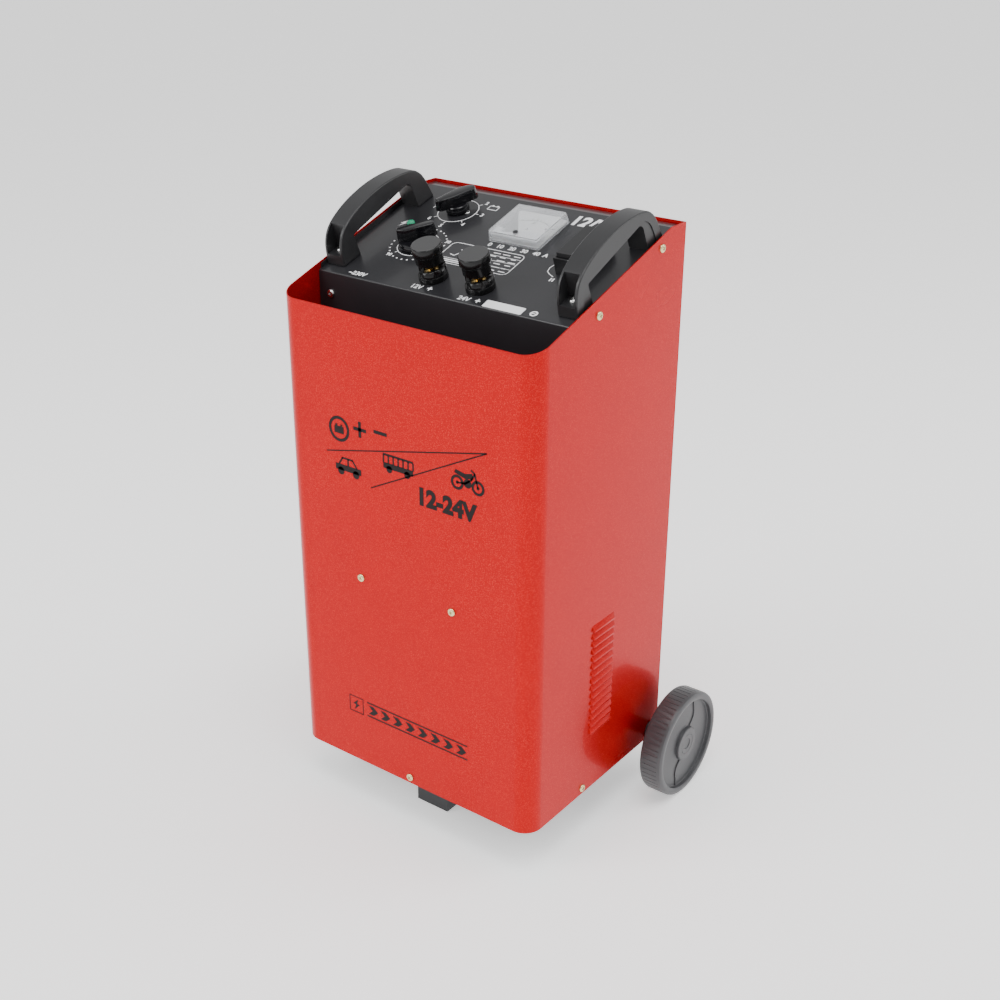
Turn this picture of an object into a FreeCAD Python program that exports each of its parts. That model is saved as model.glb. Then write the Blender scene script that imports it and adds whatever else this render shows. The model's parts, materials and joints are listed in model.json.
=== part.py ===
"""Wheeled car battery charger and engine starter, built as a parametric FreeCAD document.

Frame: millimetres, +Z up, the front faces -Y, +X is to the right seen from the front.
The origin is on the ground, in the middle of the overall box.
Pieces on the sloping control panel are placed by two lengths measured on it:
across (along X) and along (up the slope from the panel's front edge).
"""
import FreeCAD, Part
import math
import os
import Sketcher

doc = FreeCAD.newDocument("battery_charger")
sheet = doc.addObject("Spreadsheet::Sheet", "Sizes")

DRIVING = [
    ("shell_width", 330, "width over the two sides"),
    ("shell_depth", 260, "front face to rear face"),
    ("front_height", 540, "height of the front face"),
    ("rear_height", 616, "height of the rear face"),
    ("slope_run", 232, "depth over which the side edges rise"),
    ("shell_lift", 53, "underside of the shell above the ground"),
    ("front_face", -152.05, "place of the front face along Y"),
    ("wall", 1.2, "thickness of the painted sheets"),
    ("bend", 22, "outside radius of the two front corners"),
    ("fit", 0.2, "clearance between sheets that lie side by side"),
    ("bay_depth", 61.6, "front face to the black wall of the cable bay"),
    ("panel_rise", 553.6, "front edge of the control panel above the shell's underside"),
    ("panel_back", 242, "front face to the end of the panel's slope"),
    ("panel_half", 163.4, "half the panel's width"),
    ("flange", 18, "depth of the panel's side flanges"),
    ("upstand", 5, "height of the panel's rising side edges"),
    ("fold", 2, "outside radius of the panel's front fold"),
    ("floor_rise", 250, "cable bay floor above the shell's underside"),
    ("lip", 16, "height of the folded lips on floor and base"),
    ("base_wall", 1.5, "thickness of the base tray"),
    ("wheel_radius", 63.5, "radius of a wheel"),
    ("wheel_width", 28, "width of a wheel"),
    ("wheel_gap", 190, "middle of the object to a wheel's inner face"),
    ("axle_radius", 6, "radius of the axle"),
    ("axle_inset", 17, "axle ahead of the rear face"),
    ("axle_half", 215, "half the axle's length"),
    ("running", 0.05, "radial clearance of a turning fit"),
    ("hub", 20.5, "radius of the wheel's hub"),
    ("dimple", 7, "radius of the dimple in an axle end cap"),
    ("foot_half", 22, "half the width of the front foot"),
    ("foot_setback", 38, "front face to the front foot"),
    ("foot_depth", 34, "depth of the front foot"),
    ("foot_wall", 3, "thickness of the front foot"),
    ("screw_head", 4.5, "radius of a case screw's head"),
    ("screw_proud", 2.4, "height of a case screw's head"),
    ("screw_shank", 2, "radius of a case screw's shank"),
    ("louvre_front", 110.6, "front face to the louvres"),
    ("louvre_length", 41.4, "length of a louvre"),
    ("louvre_low", 73, "lowest louvre above the shell's underside"),
    ("louvre_pitch", 9.2, "distance from louvre to louvre"),
    ("louvre_count", 15, "louvres on each side"),
    ("handle_middle", 149, "middle of the object to the middle of a handle"),
    ("handle_width", 24, "width of a handle"),
    ("grip_low", 33, "panel to the underside of the grip"),
    ("pocket_width", 18, "width of the pocket at each end of a handle"),
    ("pocket_floor", 12, "panel to the floor of a handle pocket"),
    ("post_along", 28.5, "output terminals up the panel"),
    ("post_left", -28, "first output terminal across the panel"),
    ("post_right", 32.5, "second output terminal across the panel"),
    ("post_radius", 15.5, "radius of a terminal's moulded base"),
    ("stud", 4, "radius of a terminal stud"),
    ("cap_radius", 16.3, "radius of a terminal's screw cap"),
    ("cap_top", 40, "panel to the top of a screw cap"),
    ("knob_across", -87, "both knobs across the panel"),
    ("switch_along", 149.5, "step switch up the panel"),
    ("timer_along", 77, "timer up the panel"),
    ("shaft", 3, "radius of a knob's shaft"),
    ("knob_height", 22, "panel to the top of a knob"),
    ("lamp_across", -121, "pilot lamp across the panel"),
    ("lamp_along", 108, "pilot lamp up the panel"),
    ("lamp_radius", 5.5, "radius of the pilot lamp"),
    ("meter_across", 17, "ammeter across the panel"),
    ("meter_along", 137, "middle of the ammeter up the panel"),
    ("meter_side", 60, "length of the ammeter's cover up the panel"),
    ("meter_wide", 65, "width of the ammeter's cover"),
    ("meter_height", 12, "height of the ammeter's cover"),
    ("needle_along", 119, "needle pivot up the panel"),
    ("rocker_across", 107.2, "changeover switch across the panel"),
    ("rocker_along", 106, "middle of the changeover switch up the panel"),
    ("housing_width", 29.6, "width of the changeover switch's housing"),
    ("housing_length", 62, "length of the changeover switch's housing"),
    ("housing_height", 19, "height of the changeover switch's housing"),
    ("rocker_height", 23.6, "panel to the top of the rocker"),
    ("pivot", 2, "radius of the rocker's pivot pins"),
    ("core_width", 150, "width of the transformer core"),
    ("core_height", 125, "height of the transformer core"),
    ("core_depth", 80, "stack depth of the transformer core"),
    ("core_setback", 175, "front face to the middle of the transformer"),
    ("core_leg", 25, "width of the core's outer legs and yokes"),
    ("rectifier_rise", 330, "rectifier plates' middle above the shell's underside"),
    ("gland_rise", 300, "cable glands above the shell's underside"),
    ("mains_across", -113, "mains gland across the object"),
    ("negative_across", 112, "negative lead's gland across the object"),
]


class Dim:
    """A length or a number that knows both its value and its spreadsheet expression."""

    def __init__(self, value, text):
        self.value = float(value)
        self.text = text

    def __add__(self, other):
        other = dim(other)
        return Dim(self.value + other.value, f"({self.text} + {other.text})")

    def __sub__(self, other):
        other = dim(other)
        return Dim(self.value - other.value, f"({self.text} - {other.text})")

    def __mul__(self, other):
        other = dim(other)
        return Dim(self.value * other.value, f"({self.text} * {other.text})")

    def __truediv__(self, other):
        other = dim(other)
        return Dim(self.value / other.value, f"({self.text} / {other.text})")

    def __neg__(self):
        return Dim(-self.value, f"(0 - {self.text})")

    __radd__ = __add__
    __rmul__ = __mul__

    def __rsub__(self, other):
        return dim(other) - self


def dim(number):
    """Return the number as a Dim."""
    if isinstance(number, Dim):
        return number
    if number < 0:
        return Dim(number, f"(0 - {-number})")
    return Dim(number, f"{number}")


def sine(angle):
    """Sine of an angle in degrees."""
    return Dim(math.sin(math.radians(angle.value)), f"sin({angle.text})")


def cosine(angle):
    """Cosine of an angle in degrees."""
    return Dim(math.cos(math.radians(angle.value)), f"cos({angle.text})")


class Size:
    """The spreadsheet's cells as attributes."""


for row, (alias, number, meaning) in enumerate(DRIVING, 1):
    sheet.set(f"A{row}", str(number))
    sheet.set(f"B{row}", meaning)
    sheet.setAlias(f"A{row}", alias)
    setattr(Size, alias, Dim(number, f"Sizes.{alias}"))
doc.recompute()

half = Size.shell_width / 2
ground_gap = Size.shell_lift
front = Size.front_face
rear = front + Size.shell_depth
rise = Size.rear_height - Size.front_height
slope = Dim(math.degrees(math.atan(rise.value / Size.slope_run.value)),
            f"atan({rise.text} / {Size.slope_run.text})")
up = cosine(slope)
lean = sine(slope)
climb = lean / up
panel_front = front + Size.bay_depth
panel_low = ground_gap + Size.panel_rise
panel_top = panel_low + (Size.panel_back - Size.bay_depth) * climb
axle_y = rear - Size.axle_inset
axle_z = Size.wheel_radius

X_AXIS = FreeCAD.Vector(1, 0, 0)
Y_AXIS = FreeCAD.Vector(0, 1, 0)
UPRIGHT = FreeCAD.Rotation()
TO_RIGHT = FreeCAD.Rotation(Y_AXIS, 90)
TO_LEFT = FreeCAD.Rotation(Y_AXIS, -90)
TO_FRONT = FreeCAD.Rotation(X_AXIS, 90)
TO_BACK = FreeCAD.Rotation(X_AXIS, -90)

nodes = []


def on_panel(across, along, above=0):
    """World point of a place on the control panel, above its outer face."""
    y = panel_front + dim(along) * up - dim(above) * lean
    z = panel_low + dim(along) * lean + dim(above) * up
    return (dim(across), y, z)


def put(item, point, turn=UPRIGHT, tilted=False):
    """Place an object; tilted ones lie square on the control panel."""
    if tilted:
        turn = FreeCAD.Rotation(X_AXIS, slope.value)
    item.Placement = FreeCAD.Placement(FreeCAD.Vector(*[dim(p).value for p in point]), turn)
    for letter, place in zip("xyz", point):
        item.setExpression(f"Placement.Base.{letter}", dim(place).text)
    if tilted:
        item.setExpression("Placement.Rotation.Angle", slope.text)


class Piece:
    """A PartDesign body, with short calls for the features that the pieces share."""

    def __init__(self, label, point=(0, 0, 0), turn=UPRIGHT, tilted=False, keep=True):
        self.body = doc.addObject("PartDesign::Body", label)
        self.body.Label = label
        put(self.body, point, turn, tilted)
        if keep:
            nodes.append(self.body)

    def sketch(self, role, shift=0):
        """Start a sketch on an origin plane of the body, shifted along its normal."""
        sketch = self.body.newObject("Sketcher::SketchObject", self.body.Name + "_sketch")
        plane = [p for p in self.body.Origin.OriginFeatures if p.Role == role + "_Plane"][0]
        sketch.AttachmentSupport = [(plane, "")]
        sketch.MapMode = "FlatFace"
        sketch.AttachmentOffset = FreeCAD.Placement(FreeCAD.Vector(0, 0, dim(shift).value), UPRIGHT)
        sketch.setExpression("AttachmentOffset.Base.z", dim(shift).text)
        return sketch

    def feature(self, kind, sketch, length=None, middle=False, reverse=False):
        """Add a Pad or a Pocket of a sketch; no length means right through."""
        item = self.body.newObject("PartDesign::" + kind, self.body.Name + "_" + kind.lower())
        item.Profile = sketch
        if middle:
            item.SideType = "Symmetric"
        item.Reversed = reverse
        if length is None:
            item.Type = "ThroughAll"
        else:
            item.Length = dim(length).value
            item.setExpression("Length", dim(length).text)
        sketch.Visibility = False
        doc.recompute()
        return item

    def pad(self, sketch, length, middle=False, reverse=False):
        """Raise a sketch into the solid."""
        return self.feature("Pad", sketch, length, middle, reverse)

    def cut(self, sketch, length=None, middle=False, reverse=False):
        """Cut a sketch out of the solid, and make sure that it removed something."""
        before = self.body.Shape.Volume
        item = self.feature("Pocket", sketch, length, middle, reverse)
        if self.body.Shape.Volume >= before - 0.01:
            raise RuntimeError(f"{self.body.Label}: {sketch.Name} cuts nothing")
        return item

    def spin(self, sketch):
        """Turn a sketch about its own vertical axis."""
        item = self.body.newObject("PartDesign::Revolution", self.body.Name + "_turned")
        item.Profile = sketch
        item.ReferenceAxis = (sketch, ["V_Axis"])
        item.Angle = 360
        doc.recompute()
        return item

    def row(self, feature, sketch, axis, spacing, count):
        """Repeat a feature in a straight row."""
        item = self.body.newObject("PartDesign::LinearPattern", self.body.Name + "_row")
        item.Originals = [feature]
        item.Direction = (sketch, [axis])
        item.Length = (spacing * (count - 1)).value
        item.setExpression("Length", (spacing * (count - 1)).text)
        item.Occurrences = int(count.value)
        self.body.Tip = item
        doc.recompute()
        return item

    def soften(self, radius, chosen):
        """Round the edges of the tip that the test picks."""
        tip = self.body.Tip
        names = [f"Edge{i}" for i, edge in enumerate(tip.Shape.Edges, 1) if chosen(edge)]
        item = self.body.newObject("PartDesign::Fillet", self.body.Name + "_rounded")
        item.Base = (tip, names)
        item.Radius = dim(radius).value
        item.setExpression("Radius", dim(radius).text)
        doc.recompute()
        return item

    def hollow(self, thickness, open_faces):
        """Leave a wall of one thickness, open at the faces that the test picks."""
        tip = self.body.Tip
        names = [f"Face{i}" for i, face in enumerate(tip.Shape.Faces, 1) if open_faces(face)]
        item = self.body.newObject("PartDesign::Thickness", self.body.Name + "_walled")
        item.Base = (tip, names)
        item.Value = thickness.value
        item.setExpression("Value", thickness.text)
        item.Reversed = True
        doc.recompute()
        return item


def pin(sketch, geometry, end, point):
    """Fix one end of a line, or a circle's centre, at a place given by two Dims."""
    for kind, place in zip(("DistanceX", "DistanceY"), point):
        place = dim(place)
        number = sketch.addConstraint(Sketcher.Constraint(kind, -1, 1, geometry, end, place.value))
        sketch.setExpression(f"Constraints[{number}]", place.text)


def outline(sketch, start, *steps):
    """Draw a closed outline: a step is a point, or a pair (via, end) for an arc."""
    ends = []
    here = start
    for step in list(steps) + [start]:
        curved = isinstance(step[0], tuple)
        target = step[1] if curved else step
        first = FreeCAD.Vector(*[dim(p).value for p in here], 0)
        last = FreeCAD.Vector(*[dim(p).value for p in target], 0)
        if curved:
            via = FreeCAD.Vector(*[dim(p).value for p in step[0]], 0)
            anticlockwise = (via - first).cross(last - via).z > 0
            arc = Part.Arc(first, via, last) if anticlockwise else Part.Arc(last, via, first)
            index = sketch.addGeometry(arc, False)
            sketch.addConstraint(Sketcher.Constraint("Radius", index, sketch.Geometry[index].Radius))
            ends.append((index, 1, 2) if anticlockwise else (index, 2, 1))
        else:
            index = sketch.addGeometry(Part.LineSegment(first, last), False)
            ends.append((index, 1, 2))
        pin(sketch, index, ends[-1][1], here)
        here = target
    for (index, _, finish), (after, begin, _) in zip(ends, ends[1:] + ends[:1]):
        sketch.addConstraint(Sketcher.Constraint("Coincident", index, finish, after, begin))


def rectangle(sketch, left, low, right, high):
    """Draw a rectangle between two corners."""
    outline(sketch, (left, low), (right, low), (right, high), (left, high))


def circle(sketch, point, radius):
    """Draw a circle."""
    centre = FreeCAD.Vector(*[dim(p).value for p in point], 0)
    index = sketch.addGeometry(Part.Circle(centre, FreeCAD.Vector(0, 0, 1), dim(radius).value), False)
    number = sketch.addConstraint(Sketcher.Constraint("Radius", index, dim(radius).value))
    sketch.setExpression(f"Constraints[{number}]", dim(radius).text)
    pin(sketch, index, 3, point)


def upright_edge(edge):
    """True for an edge along Z."""
    box = edge.BoundBox
    return box.XLength + box.YLength < 0.01


def turned(label, profile, point, turn=UPRIGHT, tilted=False, keep=True):
    """A piece turned about its own axis from an outline of (radius, height) points."""
    piece = Piece(label, point, turn, tilted, keep)
    sketch = piece.sketch("XZ")
    outline(sketch, *profile)
    piece.spin(sketch)
    return piece


def block(label, point, size, tilted=False, keep=True):
    """A rectangular piece, centred in X and Y, standing on the given point."""
    piece = Piece(label, point, UPRIGHT, tilted, keep)
    sketch = piece.sketch("XY")
    wide, deep, high = [dim(s) for s in size]
    rectangle(sketch, -(wide / 2), -(deep / 2), wide / 2, deep / 2)
    piece.pad(sketch, high)
    return piece


def together(label, pieces):
    """One node that holds several identical solids."""
    group = doc.addObject("Part::Compound", label)
    group.Label = label
    group.Links = [piece.body for piece in pieces]
    nodes.append(group)


def fasteners(label, profile, places):
    """Identical turned fasteners as one node; a place is (point, turn, tilted)."""
    pieces = [turned(f"{label}_{i}", profile, point, turn, tilted, keep=False)
              for i, (point, turn, tilted) in enumerate(places, 1)]
    together(label, pieces)


def tube_profile(bore, radius, low, high):
    """Outline of a plain ring or tube."""
    return [(bore, low), (radius, low), (radius, high), (bore, high)]


def pan_screw(length, head=Size.screw_head, proud=Size.screw_proud, shank=Size.screw_shank):
    """Outline of a pan-head screw whose head stands on height zero."""
    edge = proud * 0.45
    crown = head * 0.6
    return [(0, -length), (shank, -length), (shank, 0), (head, 0), (head, edge),
            ((head * 0.93, proud * 0.8), (crown, proud)), (0, proud)]


# ---- red sheet-metal shell -------------------------------------------------------------------

def side_screw_spots():
    """Places of the case screws on a side: (distance from the front face, height above ground)."""
    return [(front + 214, ground_gap + 598), (front + 102, ground_gap + 556), (front + 100, ground_gap + 8)]


def front_screw_spots():
    """Places of the case screws on the front: (across, height above ground)."""
    return [(-62.5, ground_gap + 242), (62.5, ground_gap + 242), (0, ground_gap + 8)]


def rear_screw_spots():
    """Places of the rear panel's screws: (across, height above ground)."""
    across = half - 7
    return [(side * across, ground_gap + height) for side in (-1, 1) for height in (30, 300, 560)]


def make_shell_wrap():
    """Front and both sides: one bent sheet with louvres, folded in at its rear edges."""
    piece = Piece("shell_wrap")
    plan = piece.sketch("XY", ground_gap)
    rectangle(plan, -half, front, half, rear - Size.wall - Size.fit)
    piece.pad(plan, Size.rear_height)
    middle = front.value + 50
    piece.soften(Size.bend, lambda edge: upright_edge(edge) and edge.BoundBox.YMax < middle)
    low = ground_gap.value + 1
    high = (ground_gap + Size.rear_height).value - 1
    back = (rear - Size.wall - Size.fit).value - 1
    piece.hollow(Size.wall, lambda face: face.BoundBox.ZMax < low or face.BoundBox.ZMin > high
                 or face.BoundBox.YMin > back)
    skyline = piece.sketch("YZ")
    top = ground_gap + Size.rear_height
    outline(skyline, (front - 5, ground_gap + Size.front_height - climb * 5),
            (front + Size.slope_run, top), (front + Size.slope_run, top + 5), (front - 5, top + 5))
    piece.cut(skyline, half * 3, middle=True)
    folds = piece.sketch("XY", ground_gap + 4)
    for side in (-1, 1):
        outline(folds, (side * (half - 14), rear - Size.wall * 2 - Size.fit),
                (side * (half - Size.wall / 2), rear - Size.wall * 2 - Size.fit),
                (side * (half - Size.wall / 2), rear - Size.wall - Size.fit),
                (side * (half - 14), rear - Size.wall - Size.fit))
    piece.pad(folds, Size.rear_height - 30)
    sides = piece.sketch("YZ")
    for spot in side_screw_spots():
        circle(sides, spot, Size.screw_shank + Size.fit)
    circle(sides, (axle_y, axle_z), 8.1)
    piece.cut(sides, half * 3, middle=True)
    face = piece.sketch("XZ", -front)
    for spot in front_screw_spots():
        circle(face, spot, Size.screw_shank + Size.fit)
    piece.cut(face, 10, middle=True)
    tail = piece.sketch("XZ", -rear)
    for spot in rear_screw_spots():
        circle(tail, spot, Size.screw_shank + Size.fit)
    piece.cut(tail, 10, middle=True)
    first = ground_gap + Size.louvre_low
    begin = front + Size.louvre_front
    end = begin + Size.louvre_length
    slot = piece.sketch("YZ")
    rectangle(slot, begin + 1, first + 0.8, end - 1, first + 4.6)
    opening = piece.cut(slot, half * 3, middle=True)
    piece.row(opening, slot, "V_Axis", Size.louvre_pitch, Size.louvre_count)
    hood = piece.sketch("XZ", -end)
    for side in (-1, 1):
        outline(hood, (side * (half - 0.4), first + 7.6), (side * (half + 2.4), first + 1.6),
                (side * (half + 1.6), first + 1.0), (side * (half - 0.4), first + 5.2))
    cover = piece.pad(hood, Size.louvre_length)
    piece.row(cover, hood, "V_Axis", Size.louvre_pitch, Size.louvre_count)


def make_rear_panel():
    """Flat red sheet that closes the back."""
    piece = Piece("rear_panel")
    face = piece.sketch("XZ", -rear)
    rectangle(face, -half, ground_gap, half, ground_gap + Size.rear_height)
    for spot in rear_screw_spots():
        circle(face, spot, Size.screw_shank + Size.fit)
    for spot in standoff_spots():
        circle(face, spot, Size.screw_shank + Size.fit)
    piece.pad(face, Size.wall)


def make_base_tray():
    """Black steel tray that closes the bottom and carries the transformer, axle and foot."""
    piece = Piece("base_tray")
    plan = piece.sketch("XY", ground_gap)
    gap = Size.wall + Size.fit
    rectangle(plan, -(half - gap), front + gap, half - gap, rear - gap - Size.wall - Size.fit)
    piece.pad(plan, Size.lip + Size.base_wall)
    middle = front.value + 50
    piece.soften(Size.bend - gap, lambda edge: upright_edge(edge) and edge.BoundBox.YMax < middle)
    lid = (ground_gap + Size.lip).value
    piece.hollow(Size.base_wall, lambda face: face.BoundBox.ZMin > lid)
    sides = piece.sketch("YZ")
    circle(sides, side_screw_spots()[2], Size.screw_shank + Size.fit)
    circle(sides, (axle_y, axle_z), 8.1)
    piece.cut(sides, half * 3, middle=True)
    face = piece.sketch("XZ", -front)
    circle(face, front_screw_spots()[2], Size.screw_shank + Size.fit)
    piece.cut(face, 12, middle=True)
    floor = piece.sketch("XY", ground_gap)
    for x, y in foot_bolt_spots() + clamp_screw_spots():
        circle(floor, (x, y), 3.2)
    piece.cut(floor, 8, middle=True)


def make_bay_floor():
    """Shelf at the bottom of the cable bay, with lips folded down all round."""
    piece = Piece("cable_bay_floor")
    gap = Size.wall + Size.fit
    top = ground_gap + Size.floor_rise
    plan = piece.sketch("XY", top - Size.lip)
    rectangle(plan, -(half - gap), front + gap, half - gap, panel_front - Size.fit)
    piece.pad(plan, Size.lip)
    middle = front.value + 30
    piece.soften(Size.bend - gap, lambda edge: upright_edge(edge) and edge.BoundBox.YMax < middle)
    low = (top - Size.lip).value + 0.5
    piece.hollow(Size.wall, lambda face: face.BoundBox.ZMax < low)
    face = piece.sketch("XZ", -front)
    for spot in front_screw_spots()[:2]:
        circle(face, spot, Size.screw_shank + Size.fit)
    piece.cut(face, 12, middle=True)
    back = piece.sketch("XZ", -panel_front)
    for spot in bay_screw_spots():
        circle(back, spot, Size.screw_shank + Size.fit)
    piece.cut(back, 8, middle=True)


def bay_screw_spots():
    """Places of the screws low on the black wall: (across, height above ground)."""
    return [(-100, ground_gap + 242), (100, ground_gap + 242)]


def wall_screw_spots():
    """Places of the screws high on the black wall: (across, height above ground)."""
    return [(-147, ground_gap + 530), (147, ground_gap + 530)]


# ---- black control panel ---------------------------------------------------------------------

def make_control_panel():
    """Black sheet: the cable bay's wall, the sloping panel and its rear strip, with side flanges."""
    piece = Piece("control_panel")
    low = ground_gap + Size.floor_rise - Size.lip
    back = rear - Size.wall * 2 - Size.fit * 3
    kink = front + Size.panel_back
    under = Size.wall / up
    profile = piece.sketch("YZ")
    outline(profile, (panel_front, low), (panel_front, panel_low), (kink, panel_top),
            (back, panel_top), (back, panel_top - 14), (back - Size.wall, panel_top - 14),
            (back - Size.wall, panel_top - Size.wall), (kink + Size.wall * climb / 2, panel_top - Size.wall),
            (panel_front + Size.wall, panel_low - under + Size.wall * climb), (panel_front + Size.wall, low))
    piece.pad(profile, Size.panel_half * 2, middle=True)
    piece.soften(Size.fold, lambda edge: abs(edge.CenterOfMass.y - panel_front.value) < 0.01
                 and abs(edge.CenterOfMass.z - panel_low.value) < 0.01)
    for side in (-1, 1):
        rim = piece.sketch("YZ", side * (Size.panel_half - Size.wall / 2))
        shift = Size.flange
        outline(rim, (panel_front + 3, panel_low - 1 + climb * 3), (kink - 3, panel_top - 1 - climb * 3),
                (kink - 3, panel_top - shift - climb * 3), (panel_front + 3, panel_low - shift + climb * 3))
        piece.pad(rim, Size.wall, middle=True)
        edge = piece.sketch("YZ", side * (Size.panel_half - Size.wall / 2))
        near, far = panel_front + 3, kink - 13
        start, stop = panel_low + climb * 3, panel_top - climb * 13
        outline(edge, (near, start - 0.6), (far, stop - 0.6), (far, stop + Size.upstand),
                (near, start + Size.upstand))
        piece.pad(edge, Size.wall, middle=True)
    sides = piece.sketch("YZ")
    for spot in side_screw_spots()[:2]:
        circle(sides, spot, Size.screw_shank + Size.fit)
    piece.cut(sides, half * 3, middle=True)
    wall = piece.sketch("XZ", -panel_front)
    for spot in bay_screw_spots() + wall_screw_spots():
        circle(wall, spot, Size.screw_shank + Size.fit)
    gland_z = ground_gap + Size.gland_rise
    circle(wall, (Size.mains_across, gland_z), 8.1)
    circle(wall, (Size.negative_across, gland_z), 9.1)
    piece.cut(wall, 8, middle=True)
    openings = [(Size.post_left, Size.post_along, 8.1), (Size.post_right, Size.post_along, 8.1),
                (Size.knob_across, Size.switch_along, 5), (Size.knob_across, Size.timer_along, 5),
                (Size.lamp_across, Size.lamp_along, 4.1), (Size.meter_across, Size.meter_along, 26.2)]
    openings += [(x, y, 2.7) for x, y in handle_screw_spots()]
    openings += [(x, y, 1.7) for x, y in switch_screw_spots()]
    top = piece.sketch("XY")
    top.AttachmentOffset = FreeCAD.Placement(
        FreeCAD.Vector(0, panel_front.value, panel_low.value), FreeCAD.Rotation(X_AXIS, slope.value))
    top.setExpression("AttachmentOffset.Base.y", panel_front.text)
    top.setExpression("AttachmentOffset.Base.z", panel_low.text)
    top.setExpression("AttachmentOffset.Rotation.Angle", slope.text)
    for x, y, radius in openings:
        circle(top, (x, y), radius)
    wide = Size.housing_width / 2 - 2
    deep = Size.housing_length / 2 - 4
    rectangle(top, Size.rocker_across - wide, Size.rocker_along - deep,
              Size.rocker_across + wide, Size.rocker_along + deep)
    piece.cut(top, 8, middle=True)


# ---- axle, wheels and foot -------------------------------------------------------------------

def make_running_gear():
    """Axle rod with its bushes, spacers and push-on end caps, and the two wheels."""
    rod = Size.axle_radius
    turned("axle", [(0, -Size.axle_half), (rod, -Size.axle_half), (rod, Size.axle_half), (0, Size.axle_half)],
           (0, axle_y, axle_z), TO_RIGHT)
    centre = (0, axle_y, axle_z)
    both = [(centre, TO_RIGHT, False), (centre, TO_LEFT, False)]
    bush = [(rod + 0.1, half - 5), (8, half - 5), (8, half + 0.1), (11, half + 0.1),
            (11, half + 2), (rod + 0.1, half + 2)]
    fasteners("axle_bushes", bush, both)
    fasteners("axle_spacers", tube_profile(rod + 0.1, 9, half + 2.2, Size.wheel_gap - 0.3), both)
    inner = Size.wheel_gap + 21.3
    face = Size.wheel_gap + Size.wheel_width - 1.2
    end = Size.axle_half + 0.1
    cap = [(rod, inner), (11.8, inner), (11.8, face), (Size.dimple, face), (Size.dimple - 0.8, face - 0.9),
           (0, face - 0.9), (0, end), (rod, end)]
    fasteners("axle_caps", cap, both)
    for label, turn in (("wheel_right", TO_RIGHT), ("wheel_left", TO_LEFT)):
        make_wheel(label, turn)


def make_wheel(label, turn):
    """Moulded wheel: raised rim, recessed disc and a hub with a pocket for the end cap."""
    inner = Size.wheel_gap
    outer = inner + Size.wheel_width
    tread = Size.wheel_radius
    bore = Size.axle_radius + Size.running
    rim = tread - 9.5
    profile = [(bore, inner), (Size.hub, inner), (Size.hub, inner + 10), (rim, inner + 10), (rim, inner),
               (tread - 2, inner), (tread, inner + 2), (tread, outer - 2), (tread - 2, outer),
               (rim + 1, outer), (rim, outer - 5), (Size.hub + 1, outer - 5), (Size.hub - 1, outer - 1),
               (12, outer - 1), (12, outer - 7), (bore, outer - 7)]
    turned(label, profile, (0, axle_y, axle_z), turn)


def foot_bolt_spots():
    """Places of the foot's bolts."""
    y = front + Size.foot_setback + Size.foot_depth / 2
    return [(-12, y), (12, y)]


def make_foot():
    """Folded steel foot under the front, open at the back, with its bolts and nuts."""
    piece = Piece("front_foot", (0, front + Size.foot_setback, 0))
    thick = Size.foot_wall
    plan = piece.sketch("XY")
    rectangle(plan, -Size.foot_half, 0, Size.foot_half, Size.foot_depth)
    piece.pad(plan, ground_gap)
    inside = piece.sketch("XZ", -Size.foot_depth)
    rectangle(inside, -(Size.foot_half - thick), thick, Size.foot_half - thick, ground_gap - thick)
    piece.cut(inside, Size.foot_depth - thick, reverse=True)
    holes = piece.sketch("XY", ground_gap)
    for x in (-12, 12):
        circle(holes, (x, Size.foot_depth / 2), 3.2)
    piece.cut(holes, thick * 2)
    bolt = [(0, -4), (5, -4), (5, 0), (3, 0), (3, 14), (0, 14)]
    under = ground_gap - thick
    fasteners("foot_bolts", bolt, [((x, y, under), UPRIGHT, False) for x, y in foot_bolt_spots()])
    above = ground_gap + Size.base_wall
    fasteners("foot_nuts", tube_profile(3, 5.2, 0, 5),
              [((x, y, above), UPRIGHT, False) for x, y in foot_bolt_spots()])


# ---- case screws -----------------------------------------------------------------------------

def make_case_screws():
    """Case screws on the red sheets, and the paler ones on the black wall of the bay."""
    profile = pan_screw(8)
    places = [((side * half, y, z), turn, False)
              for side, turn in ((1, TO_RIGHT), (-1, TO_LEFT)) for y, z in side_screw_spots()]
    places += [((x, front, z), TO_FRONT, False) for x, z in front_screw_spots()]
    places += [((x, rear, z), TO_BACK, False) for x, z in rear_screw_spots()]
    fasteners("case_screws", profile, places)
    lip_face = panel_front - Size.fit - Size.wall
    wall_places = [((x, lip_face, z), TO_FRONT, False) for x, z in bay_screw_spots()]
    wall_places += [((x, panel_front, z), TO_FRONT, False) for x, z in wall_screw_spots()]
    fasteners("bay_screws", profile, wall_places)


# ---- carrying handles ------------------------------------------------------------------------

def handle_screw_spots():
    """Places of the handle screws on the panel."""
    return [(side * Size.handle_middle, along) for side in (-1, 1) for along in (25, 155)]


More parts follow.
